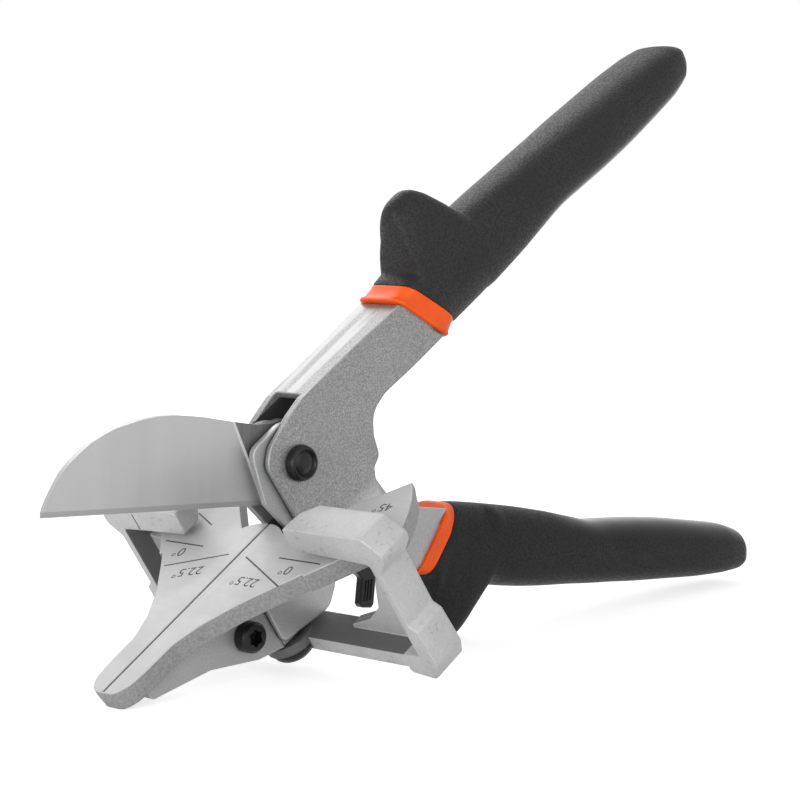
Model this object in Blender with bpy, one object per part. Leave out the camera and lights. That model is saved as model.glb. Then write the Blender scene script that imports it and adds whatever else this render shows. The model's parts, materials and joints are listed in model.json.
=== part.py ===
# Mitre shears with a swivelling fence, modelled piece by piece at real size.
# Lengths are metres. The tool is built round its table: +X runs forward along the
# cutting groove, +Z stands square on the table top, and the fence swivels about Z.
# At the end the whole tool is stood on the floor, resting on the lower handle side.

import math

import bmesh
import bpy
from mathutils import Matrix, Vector

MM = 0.001

# Working places
PIVOT_BACK = 23.6 * MM
PIVOT_RISE = 10.6 * MM
OPEN_ANGLE = math.radians(36.3)
CLOSED_DROP = math.radians(4.7)
RUN = 0.3 * MM
OVERRUN = 4.0 * MM
DRILL = 0.3 * MM
WELD = 0.02 * MM
TOUCH = 0.0001 * MM

# Stack across the tool, from the middle outwards
BLADE_THICK = 3.0 * MM
SPACER_THICK = 0.8 * MM
STEEL = 1.7 * MM
EAR_IN = BLADE_THICK / 2 + SPACER_THICK + 2 * RUN
EAR_OUT = EAR_IN + STEEL
CHEEK_IN = EAR_OUT + RUN
CHEEK_OUT = CHEEK_IN + STEEL

# Channel handles, measured from the pivot: u runs back, w runs outward
HANDLE_HALF = 7.3 * MM
UPPER_AXIS = 6.4 * MM
LOWER_AXIS = 19.6 * MM
CHANNEL_BACK = 6.4 * MM
CHANNEL_OPEN = 10.0 * MM
BACK_ROUND = 3.0 * MM
FLARE_START = 33.0 * MM
FLARE_END = 46.0 * MM
FLARE_STEPS = 4
TONGUE_HALF = 6.4 * MM
TONGUE_HEIGHT = 5.6 * MM
TONGUE_END = 140.0 * MM
HEAD_REACH = 30.0 * MM

# Collars and grips
UPPER_COLLAR_AT = 54.0 * MM
LOWER_COLLAR_AT = 48.5 * MM
COLLAR_WIDTH = 5.5 * MM
COLLAR_SLANT = math.radians(28.0)
GRIP_END = 184.6 * MM
GRIP_HALF_WIDTH = 11.6 * MM
GRIP_HALF_HEIGHT = 11.0 * MM
GRIP_SQUARE = 2.6
GRIP_FRONT_SQUARE = 5.5
UPPER_HORN_BEHIND = 18.9 * MM
LOWER_HORN_BEHIND = 15.4 * MM
HORN_HALF_LENGTH = 12.3 * MM
HORN_HEIGHT = 15.9 * MM
HORN_LEAN = 2.2 * MM
HORN_PINCH_SHARE = 0.40

# Blade, in its closed attitude about the pivot
BLADE_REACH = 74.8 * MM
BLADE_BACK = 12.4 * MM
EDGE_BITE = 0.4 * MM
EDGE_HALF = 0.1 * MM
BEVEL_HALF = 0.5 * MM
BEVEL_WIDTH = 1.2 * MM
BACK_HALF = 1.25 * MM
TANG_RADIUS = 10.8 * MM
GRIND_TOP = 18.1 * MM
GRIND_FOOT = 6.0 * MM

# Table
TABLE_THICK = 5.5 * MM
TABLE_TIP = 53.0 * MM
TABLE_HALF = 30.6 * MM
TABLE_REACH = 47.0 * MM
TIP_TURN = math.radians(133.6)
PRONG_HALF = 7.2 * MM
HUB_RADIUS = 11.4 * MM
TABLE_UNDERCUT = 0.5 * MM
GROOVE_WIDTH = 0.9 * MM
GROOVE_DEPTH = 3.2 * MM
ROOT_FRONT = 5.0 * MM
ROOT_REAR = 11.5 * MM
ROOT_DEPTH = 26.0 * MM
SHOE_FRONT = 45.0 * MM
SHOE_WALL = 1.7 * MM
FOOT_FRONT = 5.7 * MM

# Fence frame, about the swivel axis
FENCE_FACE = 0.6 * MM
FENCE_DEPTH = 10.0 * MM
FENCE_INSIDE = 47.5 * MM
FENCE_ARM = 2.1 * MM
CORNER_FLARE = 4.1 * MM
FENCE_LIP = 20.2 * MM
LIP_SLANT = 2.1 * MM
FENCE_GAP = 2.1 * MM
FENCE_TOP = 9.5 * MM
WASHER_THICK = 0.5 * MM
BAR_TOP = ROOT_DEPTH + WASHER_THICK + 3 * RUN
BAR_THICK = 4.8 * MM
FOOT_FLARE = 3.0 * MM
FOOT_TOE = 6.3 * MM
FOOT_DEPTH = 2.3 * MM
FENCE_HUB_RADIUS = 6.8 * MM
FENCE_HUB_THICK = 2.4 * MM
GUSSET_THICK = 3.4 * MM
GUSSET_SPAN = BAR_TOP + 2 * RUN
FENCE_ROUND = 0.6 * MM

# Fasteners and pins
PIVOT_HEAD_RADIUS = 4.7 * MM
PIVOT_HEAD_HEIGHT = 2.5 * MM
PIVOT_SHANK = 3.0 * MM
PIVOT_NUT_RADIUS = 5.0 * MM
PIN_RADIUS = 1.6 * MM
STUD_RADIUS = 1.6 * MM
RIVET_RADIUS = 1.5 * MM
TABLE_RIVET_RADIUS = 1.7 * MM
RIVET_MARGIN = 1.64 * MM
SCREW_HEAD_RADIUS = 4.0 * MM
SCREW_HEAD_HEIGHT = 3.0 * MM
SCREW_SHANK = 2.2 * MM
SCREW_NUT_RADIUS = 4.3 * MM
SWIVEL_RADIUS = 2.8 * MM
SWIVEL_TOP = 14.0 * MM
BUSH_WALL = 1.0 * MM
DOME_RADIUS = 5.9 * MM
DOME_HEIGHT = 4.6 * MM

# Inner parts, in the lower handle's own u and w
STUD_REACH = 28.5 * MM
STUD_ANGLE = math.radians(56.0)
SLOT_MARGIN = 1.5 * MM
SPRING_PIN_AT = (16.5 * MM, 4.0 * MM)
SPRING_RADIUS = 4.2 * MM
SPRING_WIRE = 0.6 * MM
SPRING_TURNS = 2.5
SPRING_PITCH = 1.65 * MM
LATCH_PIN_AT = (32.4 * MM, 17.2 * MM)
LATCH_THICK = 2.6 * MM
LATCH_REACH = 37.0 * MM


def clear_scene():
    """Remove whatever objects the file opened with."""
    for old in list(bpy.data.objects):
        bpy.data.objects.remove(old, do_unlink=True)


def finish(name, colour, roughness, metallic):
    """Make one plain material."""
    material = bpy.data.materials.new(name)
    material.use_nodes = True
    shader = material.node_tree.nodes["Principled BSDF"]
    shader.inputs["Base Color"].default_value = (*colour, 1.0)
    shader.inputs["Roughness"].default_value = roughness
    shader.inputs["Metallic"].default_value = metallic
    return material


def make_empty(name, parent, place=(0, 0, 0), turn_y=0.0):
    """Make an axis or carrier that pieces hang from."""
    empty = bpy.data.objects.new(name, None)
    bpy.context.scene.collection.objects.link(empty)
    empty.parent = parent
    empty.location = place
    empty.rotation_euler = (0, turn_y, 0)
    return empty


def make_object(name, mesh_data, material, parent, sharp=math.radians(32)):
    """Turn a bmesh into a named piece."""
    bmesh.ops.remove_doubles(mesh_data, verts=mesh_data.verts, dist=TOUCH)
    bmesh.ops.recalc_face_normals(mesh_data, faces=mesh_data.faces)
    mesh = bpy.data.meshes.new(name)
    mesh_data.to_mesh(mesh)
    mesh_data.free()
    mesh.shade_smooth()
    mesh.set_sharp_from_angle(angle=sharp)
    piece = bpy.data.objects.new(name, mesh)
    bpy.context.scene.collection.objects.link(piece)
    piece.parent = parent
    if material:
        mesh.materials.append(material)
    return piece


def cut(piece, cutter, operation="DIFFERENCE"):
    """Cut a piece with a guide object, or join the guide to it."""
    cutter.hide_render = True
    cutter.display_type = "WIRE"
    step = piece.modifiers.new(cutter.name, "BOOLEAN")
    step.operation = operation
    step.object = cutter
    step.solver = "EXACT"


def soften(piece, width, segments=2, angle=math.radians(40)):
    """Round a piece's sharp edges."""
    step = piece.modifiers.new("soften", "BEVEL")
    step.width = width
    step.segments = segments
    step.limit_method = "ANGLE"
    step.angle_limit = angle


def rounded(corners, steps=4):
    """Turn corners (x, z, radius) into an outline with round corners."""
    outline = []
    count = len(corners)
    for index, (x, z, radius) in enumerate(corners):
        here = Vector((x, z))
        before = Vector(corners[index - 1][:2]) - here
        after = Vector(corners[(index + 1) % count][:2]) - here
        half = before.angle(after) / 2
        if radius <= 0 or half > math.radians(88):
            outline.append(here)
            continue
        reach = min(radius / math.tan(half), before.length * 0.48, after.length * 0.48)
        arc = reach * math.tan(half)
        centre = here + (before.normalized() + after.normalized()).normalized() * (arc / math.sin(half))
        start = here + before.normalized() * reach - centre
        sweep = (here + after.normalized() * reach - centre).angle_signed(start)
        for step in range(steps + 1):
            turn = Matrix.Rotation(sweep * step / steps, 2)
            outline.append(centre + turn @ start)
    return outline


def prism(outline, low, high, axis="Y"):
    """Extrude an outline along Y (points are x, z), Z (points are x, y) or X (points are y, z)."""
    solid = bmesh.new()
    rings = []
    for level in (low, high):
        if axis == "Y":
            ring = [solid.verts.new((a, level, b)) for a, b in outline]
        elif axis == "Z":
            ring = [solid.verts.new((a, b, level)) for a, b in outline]
        else:
            ring = [solid.verts.new((level, a, b)) for a, b in outline]
        rings.append(ring)
    join_rings(solid, rings)
    return solid


def join_rings(solid, rings):
    """Skin a row of rings and close both ends."""
    for first, second in zip(rings, rings[1:]):
        count = len(first)
        for index in range(count):
            following = (index + 1) % count
            solid.faces.new((first[index], first[following], second[following], second[index]))
    solid.faces.new(rings[0][::-1])
    solid.faces.new(rings[-1])


def turned(profile, sides=28, axis="Y", centre=(0, 0, 0)):
    """Turn a closed profile of (radius, height) round an axis through centre."""
    solid = bmesh.new()
    rings = []
    for index in range(sides):
        angle = 2 * math.pi * index / sides
        ring = []
        for radius, height in profile:
            a, b = radius * math.cos(angle), radius * math.sin(angle)
            place = (a, height, b) if axis == "Y" else (a, b, height)
            ring.append(solid.verts.new(Vector(place) + Vector(centre)))
        rings.append(ring)
    count = len(profile)
    for index in range(sides):
        first, second = rings[index], rings[(index + 1) % sides]
        for step in range(count):
            following = (step + 1) % count
            corners = (first[step], first[following], second[following], second[step])
            solid.faces.new(corners)
    bmesh.ops.remove_doubles(solid, verts=solid.verts, dist=TOUCH)
    return solid


def spin_capped(profile, sides=28, axis="Y", centre=(0, 0, 0)):
    """Turn an open profile whose two ends lie on the axis."""
    solid = bmesh.new()
    rings = []
    for radius, height in profile:
        ring = []
        for index in range(sides):
            angle = 2 * math.pi * index / sides
            a, b = radius * math.cos(angle), radius * math.sin(angle)
            place = (a, height, b) if axis == "Y" else (a, b, height)
            ring.append(solid.verts.new(Vector(place) + Vector(centre)))
        rings.append(ring)
    join_rings(solid, rings)
    return solid


def spun_cutter(name, radius, low, high, parent, axis="Y", centre=(0, 0, 0), sides=16):
    """Make a drill-like guide."""
    solid = spin_capped([(radius, low), (radius, high)], sides, axis, centre)
    return make_object(name, solid, None, parent)


# Channel handles

def slant_at(collar_at, rise):
    """Give u on the collar's slanted front plane at a rise over the grip's axis."""
    return collar_at - math.tan(COLLAR_SLANT) * rise


def eased(share):
    """Ease a share from 0 to 1 with a level start and end."""
    return share * share * (3 - 2 * share)


def half_width(u, near, grow=0.0):
    """Give a channel's outer half width at u, from its head to its tongue."""
    neck = UPPER_COLLAR_AT + 2 * COLLAR_WIDTH
    if u <= FLARE_START:
        width = near
    elif u < FLARE_END:
        step, share = divmod((u - FLARE_START) / (FLARE_END - FLARE_START) * FLARE_STEPS, 1)
        low, high = eased(step / FLARE_STEPS), eased((step + 1) / FLARE_STEPS)
        width = near + (HANDLE_HALF - near) * (low + (high - low) * share)
    elif u <= neck:
        width = HANDLE_HALF
    else:
        share = min(1.0, (u - neck) / COLLAR_WIDTH)
        width = HANDLE_HALF + (TONGUE_HALF - HANDLE_HALF) * share
    return width + grow


def tail_corners(axis_w, collar_at, grow=0.0):
    """Give the corners of a channel behind its head: a shoulder at the collar, then the tongue."""
    back = axis_w + CHANNEL_BACK + grow
    mouth = axis_w - CHANNEL_OPEN - grow
    inside = collar_at - RUN + grow
    top = axis_w + TONGUE_HEIGHT + grow
    bottom = axis_w - TONGUE_HEIGHT - grow
    end = TONGUE_END + grow
    return [
        (slant_at(inside, CHANNEL_BACK), back, 0),
        (slant_at(inside, TONGUE_HEIGHT), top, 0),
        (end, top, 0),
        (end, bottom, 0),
        (slant_at(inside, -TONGUE_HEIGHT), bottom, 0),
        (slant_at(inside, -CHANNEL_OPEN), mouth, 0),
    ]


def flared_prism(outline, side, near, grow, back):
    """Extrude a side view across the tool, as wide as the channel is at each u."""
    flat = [(-u, side * w) for u, w in outline]
    solid = prism(flat, -1, 1)
    stride = (FLARE_END - FLARE_START) / FLARE_STEPS
    stations = [FLARE_START + stride * step for step in range(FLARE_STEPS + 1)]
    neck = UPPER_COLLAR_AT + 2 * COLLAR_WIDTH
    stations += [neck, neck + COLLAR_WIDTH]
    for u in stations:
        for vert in solid.verts:
            if abs(vert.co.x + u) < RUN:
                vert.co.x = -u
        everything = solid.verts[:] + solid.edges[:] + solid.faces[:]
        bmesh.ops.bisect_plane(solid, geom=everything, plane_co=(-u, 0, 0), plane_no=(1, 0, 0),
                               dist=10 * TOUCH)
    for vert in solid.verts:
        vert.co.y *= half_width(-vert.co.x, near, grow)
    long_edges = []
    for edge in solid.edges:
        first, second = edge.verts
        on_back = all(abs(side * vert.co.z - back) < RUN / 10 for vert in (first, second))
        if on_back and first.co.y * second.co.y > 0 and abs(first.co.x - second.co.x) > RUN:
            long_edges.append(edge)
    bmesh.ops.bevel(solid, geom=long_edges, offset=BACK_ROUND + grow, segments=4, profile=0.5,
                    affect="EDGES", clamp_overlap=True)
    bmesh.ops.triangulate(solid, faces=solid.faces)
    return solid


def hollow_outline(axis_w, front):
    """Give the side view of the space inside a channel."""
    far = TONGUE_END + OVERRUN
    roof = axis_w + CHANNEL_BACK - STEEL
    low_roof = axis_w + TONGUE_HEIGHT - STEEL
    step = UPPER_COLLAR_AT - COLLAR_WIDTH
    floor = axis_w - CHANNEL_OPEN - HEAD_REACH * 2
    return [(front, floor), (far, floor), (far, low_roof), (step, low_roof), (step, roof), (front, roof)]


UPPER_HEAD_SHARES = (
    (0.92, -0.17, 0.35), (0.82, -0.34, 0.12), (0.775, -0.527, 0.09), (0.67, -0.573, 0.05),
    (0.625, -0.667, 0.05),
)


def upper_side():
    """Give the upper channel's side view: cheeks round the pivot and a foot under the table."""
    reach = HEAD_REACH
    back = UPPER_AXIS + CHANNEL_BACK
    mouth = UPPER_AXIS - CHANNEL_OPEN
    front = CHEEK_OUT + 2 * RUN + STEEL
    under = -(PIVOT_RISE + TABLE_THICK + RUN)
    toe = -(PIVOT_BACK + FOOT_FRONT)
    sole = -(PIVOT_RISE + ROOT_DEPTH)
    heel = -(PIVOT_BACK - ROOT_REAR - 4 * RUN - FOOT_FRONT / 2)
    belly = sole + 0.33 * reach
    corners = [
        (0.33 * reach, back, 0.05 * reach),
        (0.13 * reach, 0.385 * reach, 0.2 * reach),
        (-0.17 * reach, 0.30 * reach, 0.2 * reach),
        (-front, 0.18 * reach, 0.15 * reach),
        (-front + 2 * RUN, under, 0.05 * reach),
        (toe, under, 0.03 * reach),
        (toe, sole + 0.075 * reach, 0.05 * reach),
        (toe / 2, sole - RUN, 0.3 * reach),
        (heel - 0.14 * reach, sole - RUN, 0.12 * reach),
        (heel, sole + 0.09 * reach, 0.12 * reach),
        (heel + 0.08 * reach, belly - 0.13 * reach, 0.1 * reach),
        (heel + 0.24 * reach, belly, 0.1 * reach),
        (0.60 * reach, belly, 0.06 * reach),
    ]
    for along, down, radius in reversed(UPPER_HEAD_SHARES):
        corners.append((along * reach, down * reach, radius * reach))
    corners += [(1.13 * reach, mouth, 0.3 * reach)]
    tail = tail_corners(UPPER_AXIS, UPPER_COLLAR_AT)
    return rounded(corners + tail[::-1])


def lower_side():
    """Give the lower channel's side view: ears round the pivot that clasp the blade."""
    reach = HEAD_REACH
    slot = STUD_REACH + SLOT_MARGIN
    back = LOWER_AXIS + CHANNEL_BACK
    mouth = LOWER_AXIS - CHANNEL_OPEN
    corners = [
        (0.67 * reach, back, 0.1 * reach),
        (0.43 * reach, 0.865 * reach, 0.2 * reach),
        (0.20 * reach, 0.70 * reach, 0.2 * reach),
        (-0.12 * reach, 0.475 * reach, 0.1 * reach),
        (-0.26 * reach, 0.375 * reach, 0.1 * reach),
        (-0.36 * reach, 0.185 * reach, 0.1 * reach),
        (-0.475 * reach, -0.06 * reach, 0.12 * reach),
        (-0.17 * reach, -0.33 * reach, 0.2 * reach),
        (0.30 * reach, -0.34 * reach, 0.2 * reach),
        (0.68 * reach, -0.13 * reach, 0.2 * reach),
        (0.98 * slot, 0.10 * slot, 0.12 * slot),
        (1.12 * slot, 0.22 * slot, 0.1 * slot),
        (1.20 * slot, mouth, 0.1 * slot),
    ]
    tail = tail_corners(LOWER_AXIS, LOWER_COLLAR_AT)
    return rounded(corners + tail[::-1])


def make_channel(name, side_view, side, axis_w, near, hollow_front, material, parent):
    """Make one pressed steel channel: a rounded back, two walls and an open mouth."""
    back = axis_w + CHANNEL_BACK
    piece = make_object(name, flared_prism(side_view, side, near, 0.0, back), material, parent)
    inner = flared_prism(hollow_outline(axis_w, hollow_front), side, near, -STEEL, back - STEEL)
    cut(piece, make_object(name + "_hollow", inner, None, parent))
    weld = piece.modifiers.new("weld", "WELD")
    weld.merge_threshold = WELD
    return piece


# Grips

GRIP_SHARES = (
    (0.20, 0.73, 1.00, 0.715), (0.28, 0.75, 1.03, 0.72), (0.315, 0.82, 1.05, 0.74), (0.36, 0.93, 1.07, 0.79),
    (0.46, 1.00, 1.04, 0.87), (0.53, 0.98, 0.97, 0.91), (0.585, 0.93, 0.88, 0.93), (0.63, 0.90, 0.82, 0.94),
    (0.68, 0.85, 0.86, 0.96), (0.74, 0.80, 0.92, 0.99), (0.81, 0.72, 0.95, 1.00), (0.88, 0.64, 0.93, 0.99),
    (0.94, 0.53, 0.84, 0.92), (0.975, 0.41, 0.70, 0.80), (0.992, 0.27, 0.53, 0.62), (1.00, 0.09, 0.34, 0.39),
)


def horn_rise(u, horn_at):
    """Give how far the thumb horn rises over the grip at u."""
    share = abs(u - horn_at) / HORN_HALF_LENGTH
    if share >= 1:
        return 0.0
    return HORN_HEIGHT * (1 - share ** 3) ** 1.4


def grip_sizes(share):
    """Give the grip's outer, inner and half width shares at a share of its reach, smoothly."""
    for index in range(len(GRIP_SHARES) - 1):
        here, following = GRIP_SHARES[index], GRIP_SHARES[index + 1]
        if share <= following[0] or index == len(GRIP_SHARES) - 2:
            before = GRIP_SHARES[max(index - 1, 0)]
            after = GRIP_SHARES[min(index + 2, len(GRIP_SHARES) - 1)]
            t = min(1.0, max(0.0, (share - here[0]) / (following[0] - here[0])))
            return [spline(before[k], here[k], following[k], after[k], t) for k in (1, 2, 3)]
    return list(GRIP_SHARES[-1][1:])


def spline(before, start, end, after, t):
    """Give a point of a smooth curve between start and end."""
    lead = (end - before) / 2
    trail = (after - start) / 2
    t2, t3 = t * t, t * t * t
    value = (2 * t3 - 3 * t2 + 1) * start + (3 * t2 - 2 * t3) * end
    return value + (t3 - 2 * t2 + t) * lead + (t3 - t2) * trail


def grip_body(axis_w, collar_at, side):
    """Skin the whole moulding, from ahead of the collar to the rounded end."""
    horn_at = collar_at + (UPPER_HORN_BEHIND if side > 0 else LOWER_HORN_BEHIND)
    solid = bmesh.new()
    rings = []
    stations = [0.20 + 0.021 * step for step in range(36)] + [0.955, 0.975, 0.990, 0.997, 1.0]
    for share in stations:
        u = share * GRIP_END
        outer, inner, width = grip_sizes(share)
        rise = horn_rise(u, horn_at)
        fade = min(1.0, max(0.0, (u - collar_at) / (horn_at - collar_at + HORN_HALF_LENGTH)))
        square = 2 / (GRIP_FRONT_SQUARE + (GRIP_SQUARE - GRIP_FRONT_SQUARE) * fade)
        ring = []
        for index in range(20):
            angle = 2 * math.pi * index / 20
            across = math.copysign(abs(math.cos(angle)) ** square, math.cos(angle))
            up = math.copysign(abs(math.sin(angle)) ** square, math.sin(angle))
            height = outer * GRIP_HALF_HEIGHT + rise if up > 0 else inner * GRIP_HALF_HEIGHT
            pinch = 1 - HORN_PINCH_SHARE * max(up, 0) * rise / HORN_HEIGHT
            y = across * width * GRIP_HALF_WIDTH * pinch
            lean = HORN_LEAN * max(up, 0) * rise / HORN_HEIGHT
            ring.append(solid.verts.new((lean - u, y, side * (axis_w + up * height))))
        rings.append(ring)
    join_rings(solid, rings)
    bmesh.ops.recalc_face_normals(solid, faces=solid.faces)
    return solid


def slice_off(solid, u_at_axis, axis_w, side, keep_rear):
    """Cut a moulding along the collar's slanted plane and close the cut."""
    normal = Vector((math.cos(COLLAR_SLANT), 0, -side * math.sin(COLLAR_SLANT)))
    everything = solid.verts[:] + solid.edges[:] + solid.faces[:]
    cuts = bmesh.ops.bisect_plane(solid, geom=everything, plane_co=(-u_at_axis, 0, side * axis_w),
                                  plane_no=normal, clear_outer=keep_rear, clear_inner=not keep_rear)
    edges = [part for part in cuts["geom_cut"] if isinstance(part, bmesh.types.BMEdge)]
    bmesh.ops.contextual_create(solid, geom=edges)


def make_grip(prefix, axis_w, collar_at, near, side, parts, parent):
    """Make one moulded grip and its collar, both fitted round the channel."""
    rear = collar_at + COLLAR_WIDTH
    tail = tail_corners(axis_w, collar_at, DRILL)
    ahead = collar_at - HEAD_REACH
    sleeve = [(ahead, axis_w - CHANNEL_OPEN - DRILL), (ahead, axis_w + CHANNEL_BACK + DRILL)]
    sleeve += [(u, w) for u, w, radius in tail]
    collar = grip_body(axis_w, collar_at, side)
    slice_off(collar, collar_at, axis_w, side, True)
    slice_off(collar, rear, axis_w, side, False)
    grip = grip_body(axis_w, collar_at, side)
    slice_off(grip, rear + RUN, axis_w, side, True)
    names = ((prefix + "_collar", collar, parts["orange"]), (prefix + "_grip", grip, parts["rubber"]))
    for name, solid, material in names:
        piece = make_object(name, solid, material, parent)
        room = flared_prism(sleeve, side, near, DRILL, axis_w + CHANNEL_BACK + DRILL)
        cut(piece, make_object(name + "_room", room, None, parent))


# Blade

BLADE_BACK_SHARES = (
    (0.131, 0.766), (0.240, 0.847), (0.361, 0.952), (0.468, 1.000), (0.545, 0.990), (0.614, 0.935),
    (0.716, 0.785), (0.762, 0.675), (0.816, 0.515), (0.857, 0.335), (0.896, 0.145), (0.927, -0.050),
    (0.956, -0.310), (0.977, -0.520), (0.991, -0.690), (0.998, -0.820),
)


def blade_side():
    """Give the blade's side view when closed: a straight edge below and a D-shaped back."""
    edge = -(PIVOT_RISE + EDGE_BITE)
    points = [(GRIND_FOOT, edge), (BLADE_REACH, edge)]
    for along, up in reversed(BLADE_BACK_SHARES):
        points.append((along * BLADE_REACH, up * BLADE_BACK))
    for step in range(11):
        angle = math.radians(65 + 20.5 * step)
        points.append((TANG_RADIUS * math.cos(angle), TANG_RADIUS * math.sin(angle)))
    return points


def grind_cutter(name, corners, parent):
    """Make both sides of a ground face; corners are (x, z, half thickness left)."""
    solid = bmesh.new()
    for side in (1, -1):
        rings = []
        for outer in (False, True):
            ring = []
            for x, z, half in corners:
                y = BLADE_THICK if outer else half
                ring.append(solid.verts.new((x, side * y, z)))
            rings.append(ring)
        join_rings(solid, rings)
    return make_object(name, solid, None, parent)


def make_blade(parts, parent):
    """Make the blade with its wide ground faces, its honed edge and its holes."""
    blank = prism(blade_side(), -BLADE_THICK / 2, BLADE_THICK / 2)
    blade = make_object("blade", blank, parts["blade"], parent)
    edge = -(PIVOT_RISE + EDGE_BITE)
    low, high = edge - OVERRUN, BLADE_BACK + OVERRUN
    slope = (BACK_HALF - BEVEL_HALF) / (BLADE_BACK - edge - BEVEL_WIDTH)
    lean = (GRIND_TOP - GRIND_FOOT) / (BLADE_BACK - edge)

    def face(z):
        return BEVEL_HALF + slope * (z - edge - BEVEL_WIDTH)

    front = BLADE_REACH + OVERRUN
    wide = [(GRIND_FOOT + lean * (low - edge), low, face(low)), (front, low, face(low)),
            (front, high, face(high)), (GRIND_FOOT + lean * (high - edge), high, face(high))]
    cut(blade, grind_cutter("wide_grind", wide, parent))
    hone = (BEVEL_HALF - EDGE_HALF) / BEVEL_WIDTH
    top = edge + BEVEL_WIDTH + RUN
    narrow = [(GRIND_FOOT / 2, low, EDGE_HALF / 2), (front, low, EDGE_HALF / 2),
              (front, edge, EDGE_HALF), (front, top, EDGE_HALF + hone * (top - edge)),
              (GRIND_FOOT / 2, top, EDGE_HALF + hone * (top - edge)), (GRIND_FOOT / 2, edge, EDGE_HALF)]
    cut(blade, grind_cutter("edge_hone", narrow, parent))
    wide_span = CHEEK_OUT + OVERRUN
    cut(blade, spun_cutter("blade_bore", PIVOT_SHANK + DRILL, -wide_span, wide_span, parent))
    return blade


BLADE_RIVET_SHARES = (("upper", 0.60, 0.45), ("lower", 0.17, -0.72))


def make_pin(name, place, radius, half, material, parent):
    """Make one flush cross pin with softened ends."""
    x, z = place
    tip = radius / 5
    profile = [(radius - tip, -half), (radius, -half + tip), (radius, half - tip), (radius - tip, half)]
    return make_object(name, spin_capped(profile, 16, "Y", (x, 0, z)), material, parent)


# Table

TABLE_SIDE_SHARES = (
    (0.177, 0.735, 0.10), (0.330, 0.515, 0.20), (0.500, 0.330, 0.25), (0.640, 0.245, 0.2),
)


def table_outline(inset=0.0):
    """Give the table's plan: a long prong forward, a wing on each side and a round hub behind."""
    half = [(TABLE_TIP - inset, 0.0, 0), (TABLE_TIP - inset, 0.55 * PRONG_HALF, 0.55 * PRONG_HALF),
            (TABLE_TIP - 0.55 * PRONG_HALF, 0.92 * PRONG_HALF - inset, 0.8 * PRONG_HALF),
            (TABLE_TIP - 1.2 * PRONG_HALF, PRONG_HALF - inset, 1.2 * PRONG_HALF)]
    for along, out, radius in reversed(TABLE_SIDE_SHARES):
        half.append((along * TABLE_TIP - inset / 2, out * TABLE_HALF - inset, radius * TABLE_HALF))
    half.append((-inset / 2, TABLE_HALF - inset, 0.15 * TABLE_HALF))
    reach = TABLE_REACH - inset
    wing = rounded(half)[:-1]
    wing = [point for point in wing if point.y > 0 or point.x > 0]
    for degrees in (108, 113, 118, 122, 126, 130):
        angle = math.radians(degrees)
        wing.append(Vector((reach * math.cos(angle), reach * math.sin(angle))))
    tip = reach * Vector((math.cos(TIP_TURN), math.sin(TIP_TURN)))
    wing.append(Vector((tip.x + inset / 2, tip.y - inset)))
    hub = HUB_RADIUS - inset
    for degrees in (137, 146, 155, 164, 172):
        angle = math.radians(degrees)
        wing.append(Vector((hub * math.cos(angle), hub * math.sin(angle))))
    wing.append(Vector((-hub, 0.0)))
    mirrored = [Vector((point.x, -point.y)) for point in reversed(wing[:-1]) if point.y > RUN / 10]
    return wing + mirrored


def lofted_plate(top, bottom, levels):
    """Skin a plate whose lower outline is drawn in under its upper one."""
    solid = bmesh.new()
    upper = [solid.verts.new((point.x, point.y, levels[0])) for point in top]
    middle = [solid.verts.new((point.x, point.y, levels[1])) for point in top]
    lower = [solid.verts.new((point.x, point.y, levels[2])) for point in bottom]
    join_rings(solid, [upper, middle, lower])
    return solid


def rib_side(top, grow):
    """Give the side view of the rib, or of the shoe that clasps it when grow is more than zero."""
    front = SHOE_FRONT - SHOE_WALL - RUN + grow
    rear = ROOT_FRONT + RUN if grow else ROOT_FRONT - RUN
    lift = SHOE_WALL + RUN - grow
    return [
        (front, top, 0),
        (front, -TABLE_THICK - 2 * SHOE_WALL + lift, 0.8 * SHOE_WALL),
        (0.60 * SHOE_FRONT, -0.58 * ROOT_DEPTH + lift, 4 * SHOE_WALL),
        (0.30 * SHOE_FRONT, -0.90 * ROOT_DEPTH + lift, 4 * SHOE_WALL),
        (rear, -1.01 * ROOT_DEPTH + lift, 0),
        (rear, top, 0),
    ]


def make_table(parts, parent):
    """Make the table casting: plate, groove, rib under the prong and root between the cheeks."""
    levels = (0.0, -TABLE_THICK / 3, -TABLE_THICK)
    plate = lofted_plate(table_outline(), table_outline(TABLE_UNDERCUT), levels)
    table = make_object("anvil_table", plate, parts["casting"], parent)
    rib = prism(rounded(rib_side(RUN - TABLE_THICK, 0.0)), -EAR_IN + RUN, EAR_IN - RUN)
    root = prism([(ROOT_FRONT, -TABLE_THICK + RUN), (ROOT_FRONT, -ROOT_DEPTH), (-ROOT_REAR, -ROOT_DEPTH),
                  (-ROOT_REAR, -TABLE_THICK + RUN)], -EAR_OUT, EAR_OUT)
    cut(table, make_object("table_rib", rib, None, parent), "UNION")
    cut(table, make_object("table_root", root, None, parent), "UNION")
    half = GROOVE_WIDTH / 2
    groove = prism([(-ROOT_REAR - OVERRUN, -half), (TABLE_TIP - RUN, -half), (TABLE_TIP - RUN, half),
                    (-ROOT_REAR - OVERRUN, half)], -GROOVE_DEPTH, OVERRUN, "Z")
    cut(table, make_object("table_groove", groove, None, parent))
    cut(table, spun_cutter("swivel_hole", SWIVEL_RADIUS + DRILL, -ROOT_DEPTH - OVERRUN, -SWIVEL_TOP + DRILL,
                           parent, "Z"))
    return table


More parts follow.
